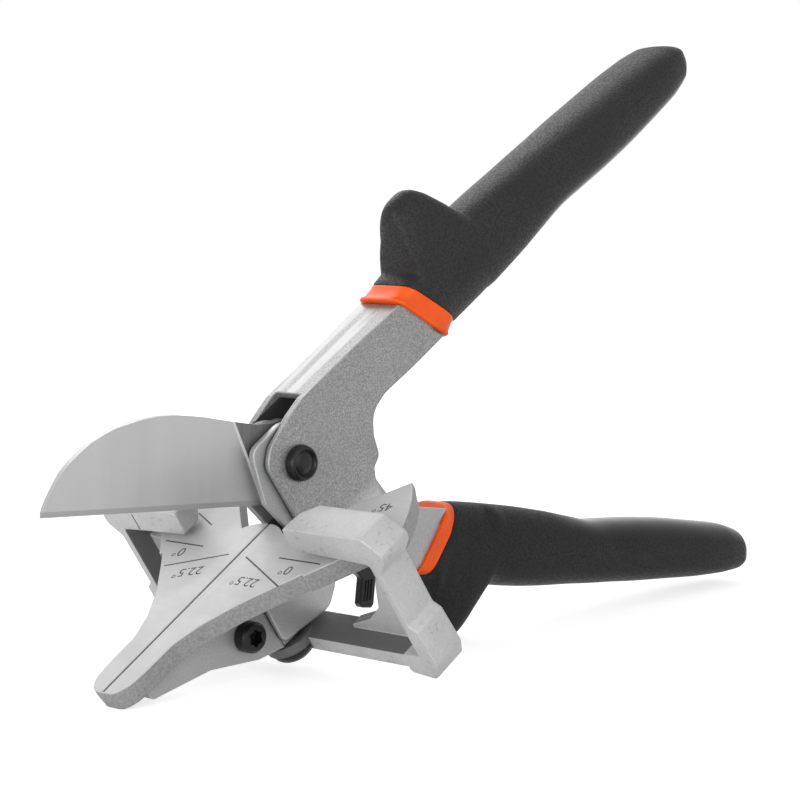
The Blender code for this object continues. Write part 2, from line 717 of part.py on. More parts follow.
def make_shoe(parts, parent):
    """Make the folded steel shoe that clasps the table's rib."""
    outer = prism(rounded(rib_side(-TABLE_THICK - RUN, SHOE_WALL + RUN)), -EAR_OUT, EAR_OUT)
    shoe = make_object("table_shoe", outer, parts["steel"], parent)
    inner = rounded(rib_side(OVERRUN, RUN))
    behind = [(ROOT_FRONT - OVERRUN, inner[-2].y), (ROOT_FRONT - OVERRUN, OVERRUN)]
    room = prism(inner[:-1] + behind, -EAR_IN, EAR_IN)
    cut(shoe, make_object("shoe_room", room, None, parent))
    return shoe


def hex_outline(radius, centre):
    """Give a hexagon's corners."""
    points = []
    for index in range(6):
        angle = math.radians(60 * index + 30)
        points.append((centre[0] + radius * math.cos(angle), centre[1] + radius * math.sin(angle)))
    return points


def star_outline(radius, centre):
    """Give a six-lobed drive recess."""
    points = []
    for index in range(24):
        angle = 2 * math.pi * index / 24
        reach = radius * (1 + 0.16 * math.cos(6 * angle))
        points.append((centre[0] + reach * math.cos(angle), centre[1] + reach * math.sin(angle)))
    return points


def make_bolt(name, centre, head, shank, seat, far, material, parent):
    """Make a headed bolt along Y; head and shank are (radius, length), seat is the head's face."""
    x, z = centre
    radius, height = head
    rim = height / 5
    profile = [(shank, -far), (shank, seat), (radius, seat), (radius, seat + height - rim),
               (radius - rim, seat + height)]
    return make_object(name, spin_capped(profile, 28, "Y", (x, 0, z)), material, parent)


def make_screw(parts, parent):
    """Make the drive screw through shoe and rib, and its nut on the far side."""
    place = (0.30 * SHOE_FRONT, -0.60 * ROOT_DEPTH)
    seat = EAR_OUT + RUN
    far = seat + SCREW_HEAD_HEIGHT
    screw = make_bolt("table_screw", place, (SCREW_HEAD_RADIUS, SCREW_HEAD_HEIGHT + 2 * RUN), SCREW_SHANK,
                      seat, far, parts["black"], parent)
    recess_floor = far - 2 * SCREW_HEAD_HEIGHT / 3
    recess = prism(star_outline(SCREW_HEAD_RADIUS * 0.52, place), recess_floor, far + OVERRUN)
    cut(screw, make_object("screw_recess", recess, None, parent))
    block = prism(hex_outline(SCREW_NUT_RADIUS, place), -seat - SCREW_HEAD_HEIGHT, -seat)
    nut = make_object("table_nut", block, parts["black"], parent)
    centre = (place[0], 0, place[1])
    cut(nut, spun_cutter("nut_bore", SCREW_SHANK + DRILL, -far - OVERRUN, 0, parent, centre=centre))
    return spun_cutter("screw_hole", SCREW_SHANK + DRILL, -far, far, parent, centre=centre)


# Fence

def fence_front():
    """Give the fence's front view: a low bar, two arms with feet and two lips over the table."""
    outside = FENCE_INSIDE + FENCE_ARM
    corner = outside + CORNER_FLARE
    foot = outside + FOOT_FLARE
    toe = FENCE_INSIDE - FOOT_TOE
    bar_low = BAR_TOP + BAR_THICK
    sole = bar_low + FOOT_DEPTH
    half = [
        (FENCE_INSIDE, -BAR_TOP, 0.4 * FENCE_ARM),
        (FENCE_INSIDE - 0.2 * FENCE_ARM, 0.6 * FENCE_GAP, 0.5 * FENCE_ARM),
        (FENCE_INSIDE - 5 * FENCE_ARM, 0.9 * FENCE_GAP, FENCE_ARM),
        (FENCE_LIP + 0.5 * FENCE_ARM, 1.2 * FENCE_GAP, 0.3 * FENCE_ARM),
        (FENCE_LIP, 0.55 * FENCE_TOP, 0.3 * FENCE_ARM),
        (FENCE_LIP + 0.3 * FENCE_ARM, FENCE_TOP, 0.4 * FENCE_ARM),
        (outside - 0.4 * FENCE_ARM, FENCE_TOP, 0.8 * FENCE_ARM),
        (corner, 0.5 * FENCE_TOP, 0.8 * FENCE_ARM),
        (corner - 0.4 * FENCE_ARM, 0.25 * FENCE_TOP, 0.5 * FENCE_ARM),
        (outside, -0.05 * BAR_TOP, FENCE_ARM),
        (outside, -0.64 * BAR_TOP, 0.4 * FENCE_ARM),
        (foot - 0.4 * FENCE_ARM, -0.70 * BAR_TOP, 0.5 * FENCE_ARM),
        (foot, -1.08 * BAR_TOP, 0.8 * FENCE_ARM),
        (foot - FENCE_ARM, -sole, FENCE_ARM),
        (toe + 0.5 * FENCE_ARM, -sole + 0.5 * FENCE_ARM, 0.6 * FENCE_ARM),
        (toe, -bar_low, 0.5 * FENCE_ARM),
    ]
    right = rounded(half, 3)
    left = [Vector((-point.x, point.y)) for point in reversed(right)]
    return right + left


GUSSET_SHARES = (
    (0.0, 1.02), (0.046, 1.02), (0.052, 0.79), (0.085, 0.765), (0.27, 0.755), (0.37, 0.67), (0.43, 0.57),
    (0.48, 0.46), (0.55, 0.30), (0.75, 0.14), (1.05, 0.03), (1.05, -0.06), (0.0, -0.06),
)


def gusset_outline(side):
    """Give the rear web between the bar, an arm and a lip, with its free edge curving in."""
    inside = FENCE_INSIDE + FENCE_ARM / 2
    points = []
    for along, up in GUSSET_SHARES:
        points.append((side * (inside - along * GUSSET_SPAN), up * GUSSET_SPAN - BAR_TOP))
    return points


def make_fence(parts, parent):
    """Make the cast fence frame with its hub, lips, feet and corner webs."""
    rear = -FENCE_FACE - FENCE_DEPTH
    frame = prism(fence_front(), rear, -FENCE_FACE, "X")
    fence = make_object("mitre_fence", frame, parts["casting"], parent)
    soften(fence, FENCE_ROUND, 2, math.radians(50))
    hub_top = -ROOT_DEPTH - WASHER_THICK - 2 * RUN
    hub_low = hub_top - FENCE_HUB_THICK
    hub = spin_capped([(FENCE_HUB_RADIUS, hub_low - RUN), (FENCE_HUB_RADIUS, hub_top)], 28, "Z")
    cut(fence, make_object("fence_hub", hub, None, parent), "UNION")
    for side, label in ((1, "right"), (-1, "left")):
        web = prism(gusset_outline(side), rear + FENCE_ROUND, rear + FENCE_ROUND + GUSSET_THICK, "X")
        cut(fence, make_object("gusset_" + label, web, None, parent), "UNION")
        y = FENCE_LIP - RUN
        ahead = -FENCE_FACE + OVERRUN
        corners = [(rear - OVERRUN, y - OVERRUN), (ahead, y - OVERRUN), (ahead, y - RUN),
                   (rear + 0.36 * FENCE_DEPTH, y + LIP_SLANT), (rear - RUN, y + 3 * LIP_SLANT),
                   (rear - OVERRUN, y + 3 * LIP_SLANT)]
        wedge = prism([(x, side * out) for x, out in corners], 0.0, FENCE_TOP + OVERRUN, "Z")
        cut(fence, make_object("lip_end_" + label, wedge, None, parent))
    deep = hub_low - BAR_TOP
    room = SWIVEL_RADIUS + BUSH_WALL + 2 * RUN
    cut(fence, spun_cutter("hub_bore", room, deep, 0, parent, "Z", sides=24))
    cut(fence, spun_cutter("nut_seat", DOME_RADIUS + 2 * RUN, deep, hub_low, parent, "Z", sides=28))
    return fence


def make_swivel(parts, parent, fence_axis):
    """Make the swivel stud, the washer over the hub, its bush and the dome nut."""
    hub_top = -ROOT_DEPTH - WASHER_THICK - 2 * RUN
    hub_low = hub_top - FENCE_HUB_THICK
    dome_top = hub_low - RUN
    stud_end = dome_top - 0.55 * DOME_HEIGHT
    stud = spin_capped([(SWIVEL_RADIUS, stud_end), (SWIVEL_RADIUS, -SWIVEL_TOP)], 20, "Z")
    make_object("swivel_stud", stud, parts["black"], parent)
    inner, outer = SWIVEL_RADIUS + RUN, SWIVEL_RADIUS + RUN + BUSH_WALL
    bush = turned([(inner, hub_low), (outer, hub_low), (outer, hub_top), (inner, hub_top)], 24, "Z")
    make_object("fence_bush", bush, parts["brass"], fence_axis)
    low, high = hub_top + RUN, -ROOT_DEPTH - RUN
    washer = turned([(inner, low), (EAR_OUT, low), (EAR_OUT, high), (inner, high)], 24, "Z")
    make_object("swivel_washer", washer, parts["spring"], parent)
    profile = [(DOME_RADIUS * 0.94, dome_top), (DOME_RADIUS, dome_top - DOME_HEIGHT / 8)]
    for step in range(6):
        angle = math.radians(15 * (step + 0.2))
        drop = 0.25 + 0.75 * math.sin(angle)
        profile.append((DOME_RADIUS * math.cos(angle), dome_top - drop * DOME_HEIGHT))
    dome = make_object("dome_nut", spin_capped(profile, 28, "Z"), parts["black"], parent)
    low, high = stud_end - DRILL, dome_top + OVERRUN
    cut(dome, spun_cutter("dome_bore", SWIVEL_RADIUS + DRILL, low, high, parent, "Z"))


# Latch and spring

LATCH_SHARES = (
    (0.717, 0.600), (0.663, 0.638), (0.700, 0.672), (0.800, 0.700), (0.930, 0.745), (1.025, 0.790),
    (1.025, 0.973), (1.050, 1.0), (1.165, 1.0), (1.190, 0.973), (1.190, 0.660), (1.215, 0.541),
    (1.215, 0.465), (1.170, 0.386), (1.080, 0.357), (0.985, 0.389), (0.945, 0.465), (0.870, 0.538),
)


def make_latch(parts, handle, latch_axis):
    """Make the latch lever: a hook inside the channel and a thumb tab outside it."""
    u0, w0 = LATCH_PIN_AT
    outline = []
    for along, out in LATCH_SHARES:
        u, w = along * HEAD_REACH, out * LATCH_REACH
        outline.append((-(u - u0), -(w - w0)))
    half = LATCH_THICK / 2
    lever = make_object("latch_lever", prism(outline, -half, half), parts["black"], latch_axis)
    soften(lever, RUN, 1)
    cut(lever, spun_cutter("latch_bore", PIN_RADIUS + DRILL, -EAR_IN, EAR_IN, latch_axis))
    make_pin("latch_pin", (-u0, -w0), PIN_RADIUS, EAR_OUT - RUN, parts["black"], handle)


def make_spring(parts, handle):
    """Make the opening spring: a short coil on its pin, one leg on each channel."""
    u0, w0 = SPRING_PIN_AT
    points = []
    per_turn = 12
    count = int(SPRING_TURNS * per_turn)
    width = SPRING_TURNS * SPRING_PITCH
    start = math.radians(200)
    for index in range(count + 1):
        angle = start + 2 * math.pi * index / per_turn
        u = u0 + SPRING_RADIUS * math.cos(angle)
        w = w0 + SPRING_RADIUS * math.sin(angle)
        points.append((-u, -width / 2 + width * index / count, -w))
    last = points[-1]
    points.append((last[0] + 2 * SPRING_WIRE, last[1], last[2] - SPRING_RADIUS))
    curve = bpy.data.curves.new("opening_spring", "CURVE")
    curve.dimensions = "3D"
    curve.bevel_depth = SPRING_WIRE
    curve.bevel_resolution = 1
    curve.use_fill_caps = True
    line = curve.splines.new("POLY")
    line.points.add(len(points) - 1)
    for point, place in zip(line.points, points):
        point.co = (*place, 1)
    curve.materials.append(parts["spring"])
    spring = bpy.data.objects.new("opening_spring", curve)
    bpy.context.scene.collection.objects.link(spring)
    spring.parent = handle
    make_pin("spring_pin", (-u0, -w0), PIN_RADIUS, EAR_OUT - RUN, parts["steel"], handle)


def stud_place(angle_below):
    """Give the catch stud's place in a handle's frame, at an angle below the handle's line."""
    return (-STUD_REACH * math.cos(angle_below), -STUD_REACH * math.sin(angle_below))


def slot_outline():
    """Give the curved slot that the catch stud runs along in the ears."""
    half = STUD_RADIUS + RUN
    start = STUD_ANGLE - OPEN_ANGLE - CLOSED_DROP - RUN / STUD_REACH
    end = STUD_ANGLE - CLOSED_DROP + RUN / STUD_REACH
    points = []
    for step in range(9):
        angle = start + (end - start) * step / 8
        points.append(((STUD_REACH + half) * math.cos(angle), (STUD_REACH + half) * math.sin(angle)))
    for step in range(1, 6):
        turn = end + math.pi * step / 6
        points.append((STUD_REACH * math.cos(end) + half * math.cos(turn),
                       STUD_REACH * math.sin(end) + half * math.sin(turn)))
    for step in range(9):
        angle = end + (start - end) * step / 8
        points.append(((STUD_REACH - half) * math.cos(angle), (STUD_REACH - half) * math.sin(angle)))
    for step in range(1, 6):
        turn = start + math.pi + math.pi * step / 6
        points.append((STUD_REACH * math.cos(start) + half * math.cos(turn),
                       STUD_REACH * math.sin(start) + half * math.sin(turn)))
    return [(-x, -z) for x, z in points]


# Assembly

def make_finishes():
    """Make the tool's materials."""
    return {
        "steel": finish("painted_steel", (0.40, 0.40, 0.41), 0.45, 0.7),
        "blade": finish("ground_steel", (0.52, 0.52, 0.52), 0.30, 1.0),
        "casting": finish("aluminium", (0.70, 0.70, 0.70), 0.42, 0.85),
        "black": finish("blackened_steel", (0.02, 0.02, 0.02), 0.35, 0.5),
        "spring": finish("spring_steel", (0.25, 0.25, 0.26), 0.35, 1.0),
        "brass": finish("brass", (0.60, 0.45, 0.18), 0.40, 1.0),
        "rubber": finish("soft_black", (0.022, 0.022, 0.022), 0.75, 0.0),
        "orange": finish("orange_collar", (0.95, 0.10, 0.02), 0.50, 0.0),
    }


def make_upper(parts, pivot, table_frame):
    """Make the upper handle's channel, grip and stud, with the holes of what it carries."""
    ahead = -PIVOT_BACK - 2 * HEAD_REACH
    channel = make_channel("upper_channel", upper_side(), 1, UPPER_AXIS, CHEEK_OUT, ahead,
                           parts["steel"], pivot)
    span = CHEEK_OUT + OVERRUN
    back = UPPER_AXIS + CHANNEL_BACK
    half = CHEEK_IN - RUN / 2
    lip = 0.39 * HEAD_REACH
    window = prism([(-lip, -half), (HEAD_REACH, -half), (HEAD_REACH, half), (-lip, half)],
                   back - STEEL - OVERRUN, back + OVERRUN, "Z")
    cut(channel, make_object("back_window", window, None, pivot))
    cut(channel, spun_cutter("cheek_bore", PIVOT_SHANK + DRILL, -span, span, pivot))
    x, z = stud_place(STUD_ANGLE)
    seat = CHEEK_IN + STEEL / 2
    cut(channel, spun_cutter("stud_seats", STUD_RADIUS + DRILL, -seat, seat, pivot, centre=(x, 0, z)))
    make_pin("catch_stud", (x, z), STUD_RADIUS, seat - RUN, parts["black"], pivot)
    make_grip("upper", UPPER_AXIS, UPPER_COLLAR_AT, CHEEK_OUT, 1, parts, pivot)
    z = -(TABLE_THICK + TABLE_RIVET_RADIUS + RIVET_MARGIN)
    holes = []
    for label, x in (("rear", -0.8 * ROOT_REAR), ("front", 0.4 * ROOT_FRONT)):
        make_pin("table_rivet_" + label, (x, z), TABLE_RIVET_RADIUS, CHEEK_OUT - RUN / 2, parts["steel"],
                 table_frame)
        holes.append(spun_cutter("rivet_hole_" + label, TABLE_RIVET_RADIUS + DRILL, -span, span, table_frame,
                                 centre=(x, 0, z)))
    for hole in holes:
        cut(channel, hole)
    return holes


def make_lower(parts, blade_axis, handle):
    """Make the lower handle's channel with its slot and holes, its grip and the blade's fixings."""
    channel = make_channel("lower_channel", lower_side(), -1, LOWER_AXIS, EAR_OUT, -2 * HEAD_REACH,
                           parts["steel"], handle)
    span = CHEEK_OUT + OVERRUN
    cut(channel, spun_cutter("ear_bore", PIVOT_SHANK + DRILL, -span, span, handle))
    cut(channel, make_object("stud_slot", prism(slot_outline(), -span, span), None, handle))
    for name, (u, w) in (("latch_hole", LATCH_PIN_AT), ("spring_hole", SPRING_PIN_AT)):
        cut(channel, spun_cutter(name, PIN_RADIUS + DRILL, -span, span, handle, centre=(-u, 0, -w)))
    half = LATCH_THICK / 2 + 2 * RUN
    deep = LOWER_AXIS + CHANNEL_BACK
    near_end, far_end = 0.63 * HEAD_REACH, 1.26 * HEAD_REACH
    window = prism([(-far_end, -deep - OVERRUN), (-near_end, -deep - OVERRUN),
                    (-near_end, -deep + 2 * STEEL), (-far_end, -deep + 2 * STEEL)], -half, half)
    cut(channel, make_object("latch_window", window, None, handle))
    make_grip("lower", LOWER_AXIS, LOWER_COLLAR_AT, EAR_OUT, -1, parts, handle)
    blade = make_blade(parts, blade_axis)
    for label, along, up in BLADE_RIVET_SHARES:
        x, z = along * TANG_RADIUS, up * TANG_RADIUS
        half = EAR_OUT - RUN / 2
        make_pin("blade_rivet_" + label, (x, z), RIVET_RADIUS, half, parts["steel"], blade_axis)
        hole = spun_cutter("blade_hole_" + label, RIVET_RADIUS + DRILL, -span, span, blade_axis,
                           centre=(x, 0, z))
        cut(channel, hole)
        cut(blade, hole)
    near = BLADE_THICK / 2 + RUN
    for side, label in ((1, "right"), (-1, "left")):
        low, high = sorted((side * near, side * (near + SPACER_THICK)))
        inner, outer = PIVOT_SHANK + DRILL, 0.58 * TANG_RADIUS
        ring = turned([(inner, low), (outer, low), (outer, high), (inner, high)], 24)
        make_object("blade_spacer_" + label, ring, parts["spring"], blade_axis)


def make_pivot(parts, pivot):
    """Make the pivot bolt, with its nut on the far side."""
    seat = CHEEK_OUT + RUN
    make_bolt("pivot_bolt", (0, 0), (PIVOT_HEAD_RADIUS, PIVOT_HEAD_HEIGHT), PIVOT_SHANK, seat,
              seat + PIVOT_HEAD_HEIGHT, parts["black"], pivot)
    block = prism(hex_outline(PIVOT_NUT_RADIUS, (0, 0)), -seat - 0.9 * PIVOT_HEAD_HEIGHT, -seat)
    nut = make_object("pivot_nut", block, parts["black"], pivot)
    soften(nut, RUN, 1)
    cut(nut, spun_cutter("pivot_nut_bore", PIVOT_SHANK + DRILL, -seat - 2 * OVERRUN, 0, pivot))


def stand_on_floor(stand):
    """Turn the tool until it rests on the floor, centred over the origin."""
    bpy.context.view_layer.update()
    depsgraph = bpy.context.evaluated_depsgraph_get()
    places = []
    for piece in bpy.context.scene.objects:
        if piece.type in ("MESH", "CURVE") and not piece.hide_render:
            shape = piece.evaluated_get(depsgraph)
            mesh = shape.to_mesh()
            places += [shape.matrix_world @ vert.co for vert in mesh.vertices]
            shape.to_mesh_clear()
    middle = sum(place.x for place in places) / len(places)
    turn = floor_turn([(place.x, place.z) for place in places], middle)
    spun = [Matrix.Rotation(turn, 3, "Y") @ place for place in places]
    low = [min(place[axis] for place in spun) for axis in range(3)]
    high = [max(place[axis] for place in spun) for axis in range(3)]
    stand.rotation_euler = (0, turn, 0)
    stand.location = (-(low[0] + high[0]) / 2, -(low[1] + high[1]) / 2, -low[2])


def floor_turn(points, middle):
    """Give the turn about Y that lays the lower hull's edge under the middle on the floor."""
    hull = []
    for point in sorted(set(points)):
        while len(hull) > 1 and turn_side(hull[-2], hull[-1], point) <= 0:
            hull.pop()
        hull.append(point)
    for first, second in zip(hull, hull[1:]):
        if first[0] <= middle <= second[0]:
            return math.atan2(second[1] - first[1], second[0] - first[0])
    return 0.0


def turn_side(first, second, third):
    """Say on which side of a line a point lies."""
    run = (second[0] - first[0]) * (third[1] - first[1])
    rise = (second[1] - first[1]) * (third[0] - first[0])
    return run - rise


def main():
    """Build the shears."""
    clear_scene()
    parts = make_finishes()
    stand = make_empty("stand", None)
    pivot = make_empty("pivot", stand, (-PIVOT_BACK, 0, PIVOT_RISE))
    blade_axis = make_empty("blade_axis", pivot, turn_y=-OPEN_ANGLE)
    handle = make_empty("lower_line", blade_axis, turn_y=-CLOSED_DROP)
    latch_axis = make_empty("latch_axis", handle, (-LATCH_PIN_AT[0], 0, -LATCH_PIN_AT[1]))
    fence_axis = make_empty("fence_axis", stand)
    holes = make_upper(parts, pivot, stand)
    make_lower(parts, blade_axis, handle)
    table = make_table(parts, stand)
    for hole in holes:
        cut(table, hole)
    shoe = make_shoe(parts, stand)
    screw_hole = make_screw(parts, stand)
    cut(table, screw_hole)
    cut(shoe, screw_hole)
    make_fence(parts, fence_axis)
    make_swivel(parts, stand, fence_axis)
    make_latch(parts, handle, latch_axis)
    make_spring(parts, handle)
    make_pivot(parts, pivot)
    stand_on_floor(stand)


main()
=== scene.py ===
"""Looks for a pair of mitre shears: finishes, moulded grips, table marks, light and camera."""

import json
import logging
import math
from dataclasses import dataclass
from enum import Enum
from typing import Iterable, Sequence

import bmesh
import bpy
from mathutils import Matrix, Vector


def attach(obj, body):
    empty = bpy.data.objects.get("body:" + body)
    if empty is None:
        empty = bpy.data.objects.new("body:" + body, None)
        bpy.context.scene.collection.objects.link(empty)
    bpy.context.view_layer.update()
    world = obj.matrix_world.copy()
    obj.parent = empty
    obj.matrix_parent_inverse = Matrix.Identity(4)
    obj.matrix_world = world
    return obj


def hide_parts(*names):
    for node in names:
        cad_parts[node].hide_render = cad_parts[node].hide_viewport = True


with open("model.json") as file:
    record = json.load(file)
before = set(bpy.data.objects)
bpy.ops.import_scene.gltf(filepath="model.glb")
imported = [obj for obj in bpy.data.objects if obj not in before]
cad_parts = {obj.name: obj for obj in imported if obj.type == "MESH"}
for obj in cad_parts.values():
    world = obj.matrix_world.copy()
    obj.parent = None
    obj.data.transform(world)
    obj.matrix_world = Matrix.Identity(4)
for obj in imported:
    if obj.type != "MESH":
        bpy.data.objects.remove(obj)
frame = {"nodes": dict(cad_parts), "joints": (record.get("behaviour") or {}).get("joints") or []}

LOG = logging.getLogger("mitre_shears")
MM = 0.001

Colour = tuple[float, float, float]
Span = tuple[float, float]
Socket = bpy.types.NodeSocket
Value = float | str | Sequence[float] | Socket

WHITE = (1, 1, 1, 1)
RISE: Span = (0.0, 1.0)
FALL: Span = (1.0, 0.0)


class Body(Enum):
    """The moving bodies that pieces ride on."""

    UPPER = "upper_handle"
    LOWER = "blade_handle"
    FENCE = "fence"
    LATCH = "latch"


class Slot(Enum):
    """The record's material slots."""

    PAINT = "painted_steel"
    GROUND = "ground_steel"
    ALLOY = "aluminium"
    BLACK = "blackened_steel"
    SPRING = "spring_steel"
    BRASS = "brass"
    SOFT = "soft_black"
    ORANGE = "orange_collar"


# Places


@dataclass(frozen=True)
class Place:
    """The tool's own working frames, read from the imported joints.

    Attributes:
        open_angle: Angle between the open blade and its closed place.
        closed_drop: Angle that the lower handle keeps under the blade's line.
    """

    open_angle: float = math.radians(36.3)
    closed_drop: float = math.radians(4.7)

    def joint(self, name: str) -> dict:
        """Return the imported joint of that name."""
        return next(joint for joint in frame["joints"] if joint["name"] == name)

    def table(self) -> Matrix:
        """Read the table's frame off the fence's swivel.

        Returns:
            The frame, with +X along the groove and +Z off the table's top.
        """
        swivel = self.joint("fence_swivel")
        up = Vector(swivel["axis"]).normalized()
        across = Vector((0, 1, 0))
        along = across.cross(up).normalized()
        turn = Matrix((along, across, up)).transposed().to_4x4()
        return Matrix.Translation(Vector(swivel["pos_m"])) @ turn

    def off_table(self) -> Vector:
        """Return the direction off the table's top."""
        return self.table().to_3x3() @ Vector((0, 0, 1))

    def upper(self) -> Matrix:
        """Return the upper handle's frame, at the pivot."""
        turn = self.table().to_3x3().to_4x4()
        return Matrix.Translation(Vector(self.joint("handle_pivot")["pos_m"])) @ turn

    def blade(self) -> Matrix:
        """Return the blade's frame, at the pivot."""
        return self.upper() @ Matrix.Rotation(-self.open_angle, 4, "Y")

    def lower(self) -> Matrix:
        """Return the lower handle's frame, at the pivot."""
        return self.blade() @ Matrix.Rotation(-self.closed_drop, 4, "Y")


PLACE = Place()


# Shader building


def tinted(colour: Colour, share: float) -> Colour:
    """Return a colour times a share, at most white."""
    return tuple(min(1.0, share * value) for value in colour)


class Tree:
    """A node tree that is built up node by node."""

    def __init__(self, tree: bpy.types.NodeTree) -> None:
        """Take the tree that the nodes go into."""
        self.tree = tree

    @staticmethod
    def cleared(owner: bpy.types.Material | bpy.types.World) -> "Tree":
        """Empty the node tree of a material or world.

        Args:
            owner: The material or world.

        Returns:
            Its empty tree.
        """
        owner.use_nodes = True
        owner.node_tree.nodes.clear()
        return Tree(owner.node_tree)

    def feed(self, target: Socket, value: Value) -> None:
        """Link another node's socket to a target, or set the target to a plain value.

        Args:
            target: The input.
            value: The socket or value.
        """
        if isinstance(value, Socket):
            self.tree.links.new(value, target)
        else:
            target.default_value = value

    def node(self, kind: str, *values: Value, **named: Value) -> bpy.types.Node:
        """Add a node.

        Args:
            kind: Its kind.
            values: What its first inputs get, in order.
            named: What its inputs of those names get.

        Returns:
            The node.
        """
        node = self.tree.nodes.new(kind)
        for target, value in zip(node.inputs, values):
            self.feed(target, value)
        for name, value in named.items():
            self.feed(node.inputs[name], value)
        return node

    def operate(self, operation: str, *values: Value, kind: str = "ShaderNodeMath") -> Socket:
        """Work out a sum.

        Args:
            operation: The sum's name.
            values: What it is worked out from.
            kind: The kind of node that does it.

        Returns:
            The result's socket.
        """
        node = self.node(kind, *values)
        node.operation = operation
        return node.outputs["Value"]

    def background_rays(self) -> Socket:
        """Give 1 for camera, glossy and transmission rays, and 0 for the rest.

        Returns:
            The factor socket.
        """
        rays = self.node("ShaderNodeLightPath").outputs
        seen = self.operate("MAXIMUM", rays["Is Camera Ray"], rays["Is Glossy Ray"])
        return self.operate("MAXIMUM", seen, rays["Is Transmission Ray"])


class Shading(Tree):
    """A Principled material."""

    bevel_samples = 6
    cell_smoothness = 0.6
    step = 0.05 * MM
    rim_span: Span = (0.80, 0.985)
    mix_colours = (6, 7)
    mix_result = 2

    def __init__(self, name: str, colour: Colour, roughness: float, metallic: float) -> None:
        """Start a material.

        Args:
            name: The material's name.
            colour: Base colour, linear.
            roughness: Base roughness.
            metallic: Metallic share.
        """
        self.material = bpy.data.materials.new(name)
        self.material.use_nodes = True
        super().__init__(self.material.node_tree)
        self.shader = self.tree.nodes["Principled BSDF"]
        self.put("Base Color", (*colour, 1.0))
        self.put("Roughness", roughness)
        self.put("Metallic", metallic)
        self.normal: Socket | None = None

    def put(self, name: str, value: Value) -> None:
        """Set or drive one of the shader's inputs."""
        self.feed(self.shader.inputs[name], value)

    def colour(self, source: Socket) -> None:
        """Drive the base colour."""
        self.put("Base Color", source)

    def roughness(self, source: Socket) -> None:
        """Drive the roughness."""
        self.put("Roughness", source)

    def coords(self, stretch: Sequence[float] = (1, 1, 1), place: Matrix | None = None) -> Socket:
        """Give object coordinates, turned into a working frame if one is named, and stretched.

        Args:
            stretch: Scale of each axis.
            place: Working frame that the coordinates are measured in.

        Returns:
            The vector socket.
        """
        source = self.node("ShaderNodeTexCoord").outputs["Object"]
        if place is not None:
            inverse = place.inverted()
            turn = self.node("ShaderNodeMapping", Vector=source, Rotation=inverse.to_euler(),
                             Location=inverse.translation)
            source = turn.outputs["Vector"]
        return self.node("ShaderNodeMapping", Vector=source, Scale=stretch).outputs["Vector"]

    def noise(self, feature: float, detail: float = 3.0, vector: Socket | None = None,
              roughness: float = 0.55) -> Socket:
        """Give a noise.

        Args:
            feature: Size of the largest features, in metres.
            detail: Octaves.
            vector: Coordinates, or None for plain object coordinates.
            roughness: Weight of the finer octaves.

        Returns:
            The factor socket, 0 to 1.
        """
        noise = self.node("ShaderNodeTexNoise", Scale=1.0 / feature, Detail=detail,
                          Roughness=roughness, Vector=vector or self.coords())
        return noise.outputs["Fac"]

    def pebbles(self, feature: float) -> Socket:
        """Give rounded cells.

        Args:
            feature: Their size, in metres.

        Returns:
            The socket of the distance to a cell's middle.
        """
        cells = self.node("ShaderNodeTexVoronoi", Scale=1.0 / feature, Vector=self.coords())
        cells.feature = "SMOOTH_F1"
        cells.inputs["Smoothness"].default_value = self.cell_smoothness
        return cells.outputs["Distance"]

    def spread(self, source: Socket, span: Span, onto: Span = RISE) -> Socket:
        """Map a span of values onto another, held at its ends.

        Args:
            source: The value.
            span: The span's two ends.
            onto: What these ends become.

        Returns:
            The mapped value's socket.
        """
        spread = self.node("ShaderNodeMapRange", source, *span, *onto)
        spread.clamp = True
        return spread.outputs["Result"]

    def reach(self, place: Matrix, axis: int) -> Socket:
        """Give a coordinate along one axis of a working frame, in metres."""
        return self.node("ShaderNodeSeparateXYZ", self.coords(place=place)).outputs[axis]

    def within(self, place: Matrix, axis: int, half: float) -> Socket:
        """Give 1 where a coordinate lies within half of nought, and 0 beyond it."""
        size = self.operate("ABSOLUTE", self.reach(place, axis))
        return self.spread(size, (half, half + self.step), FALL)

    def dot(self, first: Socket, second: Socket | Vector) -> Socket:
        """Give how far two directions agree, -1 to 1."""
        return self.operate("DOT_PRODUCT", first, second, kind="ShaderNodeVectorMath")

    def facing(self, direction: Vector) -> Socket:
        """Give how squarely the surface faces a direction of the piece's own frame, -1 to 1."""
        return self.dot(self.node("ShaderNodeTexCoord").outputs["Normal"], direction)

    def rounded(self, radius: float) -> Socket:
        """Give the surface's direction as if its sharp edges were rounded.

        Args:
            radius: Their radius.

        Returns:
            The direction's socket.
        """
        bevel = self.node("ShaderNodeBevel", Radius=radius)
        bevel.samples = self.bevel_samples
        return bevel.outputs["Normal"]

    def rim(self, radius: float) -> Socket:
        """Give 1 on the sharp edges within a radius, and 0 on the flats."""
        flat = self.node("ShaderNodeNewGeometry").outputs["Normal"]
        return self.spread(self.dot(self.rounded(radius), flat), self.rim_span, FALL)

    def product(self, first: Socket, second: Socket) -> Socket:
        """Multiply two factors."""
        return self.operate("MULTIPLY", first, second)

    def blend(self, factor: Socket, first: Colour | Socket, second: Colour | Socket) -> Socket:
        """Blend two colours by a factor.

        Args:
            factor: 0 for the first, 1 for the second.
            first: A colour or a colour socket.
            second: A colour or a colour socket.

        Returns:
            The colour socket.
        """
        mix = self.node("ShaderNodeMix", factor)
        mix.data_type = "RGBA"
        for index, value in zip(self.mix_colours, (first, second)):
            self.feed(mix.inputs[index], value if isinstance(value, Socket) else (*value, 1.0))
        return mix.outputs[self.mix_result]

    def edges(self, radius: float) -> None:
        """Round the look of sharp edges."""
        self.normal = self.rounded(radius)
        self.put("Normal", self.normal)

